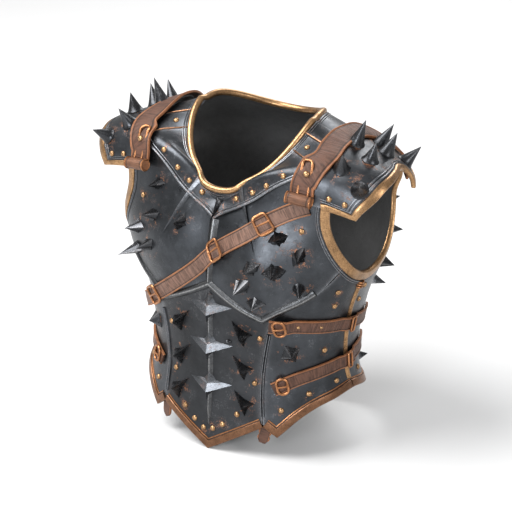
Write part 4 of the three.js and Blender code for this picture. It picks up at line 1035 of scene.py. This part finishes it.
# Pauldron spots front to back: bearing and level at the neck side, then at the free edge, and
# how far that edge stands off
PAULDRON_ROWS = np.array([
    (66, 0.775, 79, 0.765, 13), (66, 0.83, 80.5, 0.788, 13),
    (68, 0.88, 83, 0.812, 11), (74, 0.925, 86, 0.833, 9),
    (84, 0.948, 89.7, 0.843, 7), (95, 0.953, 93.8, 0.85, 6),
    (106, 0.95, 98.3, 0.858, 5), (115, 0.93, 102.5, 0.85, 5),
    (120, 0.895, 104.5, 0.83, 6), (123, 0.85, 105, 0.812, 7),
])
PAULDRON_SEATED, PAULDRON_SWELL = 0.4, 1


def pauldron_spot(u, v):
    u, v = np.broadcast_arrays(np.asarray(u, float), np.asarray(v, float))
    last = len(PAULDRON_ROWS) - 1
    row = smooth_line(np.arange(last + 1.0), PAULDRON_ROWS, v * last)
    free = np.maximum(0, (u - PAULDRON_SEATED) / (1 - PAULDRON_SEATED))
    swell = PAULDRON_SWELL * 4 * free * (1 - free)
    bearing = row[..., 0] + (row[..., 2] - row[..., 0]) * u
    level = row[..., 1] + (row[..., 3] - row[..., 1]) * u
    return bearing, level, row[..., 4] * free**1.5 + swell


def pauldron_point(u, v, out):
    bearing, level, extra = pauldron_spot(u, v)
    return surface(bearing, level, extra + out)


def pauldron_axes(u, v, out):
    step = 0.02
    forward = unit(pauldron_point(u + step, v, out) - pauldron_point(u - step, v, out))
    backward = unit(pauldron_point(u, v + step, out) - pauldron_point(u, v - step, out))
    normal = unit(np.cross(forward, backward))
    return pauldron_point(u, v, out), forward, np.cross(normal, forward), normal


def pauldron_edge():
    """The front, free and rear edges as shares out and back, without their two corners."""
    along = np.linspace(0.34, 1, 24)[:-1]
    back = np.linspace(0, 1, 90)
    u = np.concatenate([along, np.ones(len(back)), along[::-1]])
    v = np.concatenate([np.zeros(len(along)), back, np.ones(len(along))])
    near_end = ((v > 0) & (v < 0.045)) | ((v < 1) & (v > 0.955))
    keep = ~(((u > 0.93) & (u < 1)) | ((u == 1) & near_end))
    return u[keep], v[keep]


# Shares of the pauldron, out and back, to a millimetre
SHARES_PER_MM = 0.0165, 0.0062


def edge_band(parts, section, look, wear):
    """A section swept round a pauldron's edge: millimetres inwards and outwards."""
    u, v = pauldron_edge()
    here = pauldron_point(u, v, PAULDRON_TOP)
    normal = unit(pauldron_point(u, v, PAULDRON_TOP + 1) - here)
    to_u, to_v = np.where(u == 1, -1.0, 0), np.where(v == 0, 1.0, np.where(v == 1, -1.0, 0))
    inward = unit(pauldron_point(u + 0.02 * to_u, v, PAULDRON_TOP) - here) * (to_u != 0)[:, None]
    inward += unit(pauldron_point(u, v + 0.01 * to_v, PAULDRON_TOP) - here) * (to_v != 0)[:, None]
    lines = []
    for a, h in section:
        if a < 0:
            lines.append(here + inward * a + normal * h)
            continue
        near_u = np.clip(u + a * to_u * SHARES_PER_MM[0], 0, 1)
        near_v = np.clip(v + a * to_v * SHARES_PER_MM[1], 0, 1)
        lines.append(pauldron_point(near_u, near_v, PAULDRON_TOP) + normal * h)
    points = np.stack(lines, 1)
    count, sides = points.shape[:2]
    faces = [face[::-1] for face in bar_faces(count, sides)]
    parts.add(points, faces, scar=0.0, wear=np.tile(wear, count), look=look)


def pauldrons():
    parts = Parts()
    u, v = np.linspace(0, 1, 48)[None], np.linspace(0, 1, 90)[:, None]
    bearing, level, extra = pauldron_spot(u, v)
    spots = [pauldron_spot(out, back)[:2] for out, back, _ in PAULDRON_SPIKES]
    plate(parts, bearing, level, PAULDRON, extra, studs=[(b, l, 20) for b, l in spots])
    for out, back, reach in PAULDRON_SPIKES:
        cone(parts, pauldron_axes(out, back, PAULDRON_TOP), CONE_SPREAD * 1.15, CONE_REACH * reach)
    for out, back in ((0.5, 0.09), (0.76, 0.1)):
        dome(parts, pauldron_axes(out, back, PAULDRON_TOP), 4.2, 2.9)
    pair(parts, "pauldron", "black_steel")
    trim = Parts()
    edge_band(trim, lens(-2.6, 5.6, 2.3, 3.2), BRASS_LOOK, LENS_WEAR_AND_HIGHLIGHT)
    for across, radius in ((7.8, 1.0), (10.6, 0.8)):
        section, wear = round_section(across, 0.2, radius)
        edge_band(trim, section, STEEL_LOOK, wear)
    pair(trim, "pauldron_trim", "brass")


def strap(parts, spots, width, out):
    """A leather band with piped edges, 3 mm thick."""
    half, t = width / 2, 3.0
    right = [
        (half - 0.2, 0), (half, t * 0.55), (half - 0.4, t + 0.25), (half - 1.3, t + 0.5),
        (half - 2.3, t + 0.1), (half - 3.0, t - 0.4), (half - 4.2, t - 0.1), (half * 0.4, t + 0.2),
    ]
    section = np.array(right + [(-a, h) for a, h in right[::-1]])
    on_surface(parts, *spots, section[:, 0], section[:, 1], out, 0, strap_half=half)


def ring_path(length, width, corner):
    """A rectangle with round corners, as x along and y across."""
    path, steps = [], 5
    for sx, sy, start in ((1, 1, 0), (-1, 1, 90), (-1, -1, 180), (1, -1, 270)):
        for k in range(steps):
            a = math.radians(start + 90 * k / (steps - 1))
            x, y = sx * (length / 2 - corner), sy * (width / 2 - corner)
            path.append((x + corner * math.cos(a), y + corner * math.sin(a)))
    return np.array(path)


def frame_bar(parts, spot, heading, path, out, radius, closed=True):
    """A copper bar along a flat path round a spot, turned by its heading."""
    sine, cosine = math.sin(math.radians(heading)), math.cos(math.radians(heading))
    x, y = path[:, 0], path[:, 1]
    right, up = x * cosine - y * sine, x * sine + y * cosine
    points, faces = tube(local(spot[0] + 0 * x, spot[1] + 0 * x, right, up, out), radius, 10, closed)
    parts.add(points, faces, wear=0.5, scar=0.0, look=COPPER_LOOK)


def buckle(parts, spot, heading, length, width, out, corner=5.0):
    bar = 1.9
    centre = ring_path(length - 2 * bar, width - 2 * bar, corner)
    frame_bar(parts, spot, heading, centre, out + bar, bar)
    reach = length / 2 - bar
    x = np.linspace(-reach - 0.5, reach + 1.2, 9)
    height = out + bar * (1.55 + 0.55 * np.sin(np.linspace(0, np.pi, 9)))
    frame_bar(parts, spot, heading, np.c_[x, 0 * x], height, np.linspace(1.5, 1.1, 9), closed=False)


def lift(crossings, bearing):
    """How far a strap rises over what it crosses: middle, height and reach in degrees."""
    most = 0 * bearing
    for middle, height, reach in crossings:
        away = np.abs(np.abs(bearing) - middle) / reach
        smooth = np.clip(2 - away, 0, 1)
        most = np.maximum(most, height * smooth * smooth * (3 - 2 * smooth))
    return most


STRAP_SPOTS = [
    (65, 0.8), (66.5, 0.85), (71, 0.9), (80, 0.937), (90, 0.948), (100, 0.946), (111, 0.935),
    (119, 0.905), (125, 0.85), (128, 0.79),
]
CHEST_STRAP_SPOTS = [
    (66, 0.766), (54, 0.732), (42, 0.7), (24, 0.645), (2, 0.585), (-14, 0.53), (-27, 0.483),
    (-40, 0.435),
    (-55, 0.385), (-75, 0.345), (-95, 0.34), (-115, 0.345),
]
BUCKLE_SHARES = (0.125, 0.32, 0.61)


def shoulder_straps():
    width, seat, radius, half_roll, sides = 32, PAULDRON_TOP + 1.2, 8, 17, 28
    band = Parts()
    strap(band, route(STRAP_SPOTS, 90), width, seat)
    origin, right, up, normal = standing(*STRAP_SPOTS[0], seat + radius)
    tilt = math.radians(-8)
    axis = right * math.cos(tilt) + up * math.sin(tilt)
    down = -(up * math.cos(tilt) - right * math.sin(tilt))
    middle = origin + 4 * down
    reach = np.linspace(-half_roll, half_roll, 15)
    points, faces = tube(
        middle + reach[:, None] * axis, radius - 0.6 * (reach / half_roll) ** 2, sides,
    )
    run = np.repeat(reach, sides)
    detail = np.stack([np.tile(np.arange(sides) * 1.8, len(reach)), run, np.full(len(run), 18.0)], -1)
    band.add(points, faces, strap=detail, look=1)
    pair(band, "shoulder_strap", "leather", materials=[LEATHER, ROLL_LEATHER])

    loop = Parts()
    frame_bar(loop, (66.7, 0.845), -8, ring_path(14, width + 9, 4.5), seat + 3.4 + 1.4, 1.9)
    dome(loop, standing(67.5, 0.87, seat + 3), 4.4, 3.0)
    turn = circle(24)[:, None]
    for side in (-1, 1):
        rim = middle + side * half_roll * axis + 7.6 * (np.cos(turn) * normal + np.sin(turn) * down)
        points, faces = tube(rim, 1.2, closed=True)
        loop.add(points, faces, wear=0.5, scar=0.0, look=COPPER_LOOK)
    pair(loop, "strap_loop", "copper")


def chest_strap():
    width, count = 23, 200
    bearing, level = route(CHEST_STRAP_SPOTS, count)
    over = lift([(0, 4.2, 5)], bearing)
    over = np.maximum(over, np.where(bearing < 0, lift([(45, 3.4, 12), (SIDE_SEAM, 1.2, 5)], bearing), 0))
    seat = CHEST_TOP + 1.2
    band = Parts()
    strap(band, (bearing, level), width, seat + over)
    assemble(band, "chest_strap", "leather", materials=[STRAP_LEATHER])
    here = surface(bearing, level, 0)
    for i, share in enumerate(BUCKLE_SHARES):
        k = round(share * count)
        way = here[k + 2] - here[k - 2]
        _, right, up, _ = standing(bearing[k], level[k], 0)
        heading = math.degrees(math.atan2(way @ up, way @ right))
        parts = Parts()
        top = seat + 3.4 + over[k - 6:k + 7].max()
        buckle(parts, (bearing[k], level[k]), heading, 25, 30, top)
        assemble(parts, f"chest_buckle_{i + 1}", "copper")


# Side straps: their spots, the height of what they cross in front, and their sides
SIDE_STRAPS = {
    "upper": (
        [(42, 0.41), (60, 0.402), (76, 0.388), (92, 0.372), (106, 0.355), (122, 0.345)], 5.6, ("left",),
    ),
    "lower": (
        [(43, 0.207), (56, 0.235), (70, 0.25), (89, 0.257), (106, 0.262), (120, 0.262)], 0.0,
        ("left", "right"),
    ),
}
BUCKLE_PLACE, KEEPER_PLACE = 6, 54


def side_straps():
    seat = UNDER_TOP + 1.2
    for kind, (chosen, border_height, sides) in SIDE_STRAPS.items():
        bearing, level = route(chosen, 90)
        over = lift([(SIDE_SEAM, 3.6, 4), (44, border_height, 6)], bearing)
        band, frame, keeper = Parts(), Parts(), Parts()
        strap(band, (bearing, level), 20, seat + over)
        k = BUCKLE_PLACE
        buckle(frame, (bearing[k], level[k]), 12, 18, 27, seat + 3.2 + over[k], 6.5)
        if kind == "upper":
            for b in (57, 69):
                dome(frame, standing(b, float(np.interp(b, bearing, level)), seat + 2.9), 2.6, 2.0)
        k = KEEPER_PLACE
        frame_bar(keeper, (bearing[k], level[k]), 0, ring_path(8, 23, 2.5), seat + 4.8 + over[k], 1.5)
        for side in sides:
            for parts, piece, slot, looks in (
                (band, "strap", "leather", [LEATHER]),
                (frame, "buckle", "copper", None),
                (keeper, "keeper", "copper", None),
            ):
                made = parts if side == "left" else mirrored(parts)
                assemble(made, f"side_{piece}_{kind}_{side}", slot, materials=looks)


# The tabs hang behind the hem
TAB_LAYER = -4.9


def torn_tabs():
    for name, chosen, ragged in (
        ("right", [(-37, 0.15), (-37, 0.12), (-37, 0.09), (-37, 0.06), (-37.5, 0.035)], 0.0),
        ("left", [(37, 0.15), (37, 0.12), (37, 0.09), (36, 0.07), (34.5, 0.04)], 1.0),
    ):
        parts = Parts()
        t = np.linspace(0, 1, 41)
        end = np.sqrt(np.clip(1 - ((t - 0.8) / 0.2) ** 2 * (1 - 0.35 * ragged), 0.02, 1))
        half = 8.5 * np.where(t > 0.8, end, 1)
        half = half * (1 + ragged * 0.12 * np.sin(t * 31) * (t > 0.5))
        across = np.array([1, 1, 0.5, -0.5, -1, -1]) * half[:, None]
        heights = [0, 2.6, 3, 3, 2.6, 0]
        on_surface(parts, *route(chosen, 40), across, heights, TAB_LAYER, 0, strap_half=8.5)
        assemble(parts, "torn_tab_" + name, "leather", materials=[LEATHER])


for build in (
    chest_plate, belly_plate, flank_plates, back_plate, collar_band, shoulder_lames, neck_trim,
    armhole_trims, hem_trims, beads_and_ridges, belly_keel, pauldrons, shoulder_straps,
    chest_strap, side_straps, torn_tabs,
):
    build()


# Camera, floor and light
AZIMUTH, ELEVATION, DISTANCE = math.radians(33), math.radians(22), 3.2
scene = bpy.context.scene
along = np.array([
    math.sin(AZIMUTH) * math.cos(ELEVATION), -math.cos(AZIMUTH) * math.cos(ELEVATION), math.sin(ELEVATION),
])
target = (np.array([0, 0, 230]) + SHIFT) * MM
camera = bpy.data.objects.new("camera", bpy.data.cameras.new("camera"))
scene.collection.objects.link(camera)
camera.location = target + along * DISTANCE
camera.rotation_euler = (math.pi / 2 - ELEVATION, 0, AZIMUTH)
camera.data.lens = 160.4
camera.data.sensor_width = 36
camera.data.shift_x = -0.0053
camera.data.shift_y = 0.0162
scene.camera = camera
scene.view_settings.view_transform = "Standard"


def area_light(name, place, size, power, color=(1, 1, 1)):
    light = bpy.data.objects.new(name, bpy.data.lights.new(name, "AREA"))
    scene.collection.objects.link(light)
    light.data.shape = "DISK"
    light.data.size = size
    light.data.energy = power
    light.data.color = color
    light.location = place
    toward = target - np.array(place)
    light.rotation_euler = (
        math.atan2(math.hypot(toward[0], toward[1]), -toward[2]), 0, math.atan2(-toward[0], toward[1]),
    )


area_light("key", (0.42, -2.9, 0.95), 1.0, 50, (0.93, 0.96, 1))
area_light("top", (-1.3, -1.2, 2.8), 2.4, 170)
area_light("side", (2.8, -0.6, 1.6), 1.2, 35)
area_light("rim", (-0.5, 2.2, 2.0), 1.6, 40)

FLOOR_HALF = 4.0
corners = [(x * FLOOR_HALF, y * FLOOR_HALF, 0) for x, y in ((-1, -1), (1, -1), (1, 1), (-1, 1))]
floor_mesh = bpy.data.meshes.new("floor")
floor_mesh.from_pydata(corners, [], [(0, 1, 2, 3)])
floor = bpy.data.objects.new("floor", floor_mesh)
scene.collection.objects.link(floor)
paper = bpy.data.materials.new("pale floor")
paper.use_nodes = True
matt = paper.node_tree.nodes["Principled BSDF"].inputs
matt["Base Color"].default_value = (0.6, 0.6, 0.6, 1)
matt["Roughness"].default_value = 0.9
floor_mesh.materials.append(paper)

world = bpy.data.worlds.new("studio")
world.use_nodes = True
backdrop = world.node_tree.nodes["Background"].inputs
backdrop["Color"].default_value = (1, 1, 1, 1)
backdrop["Strength"].default_value = 0.5
scene.world = world
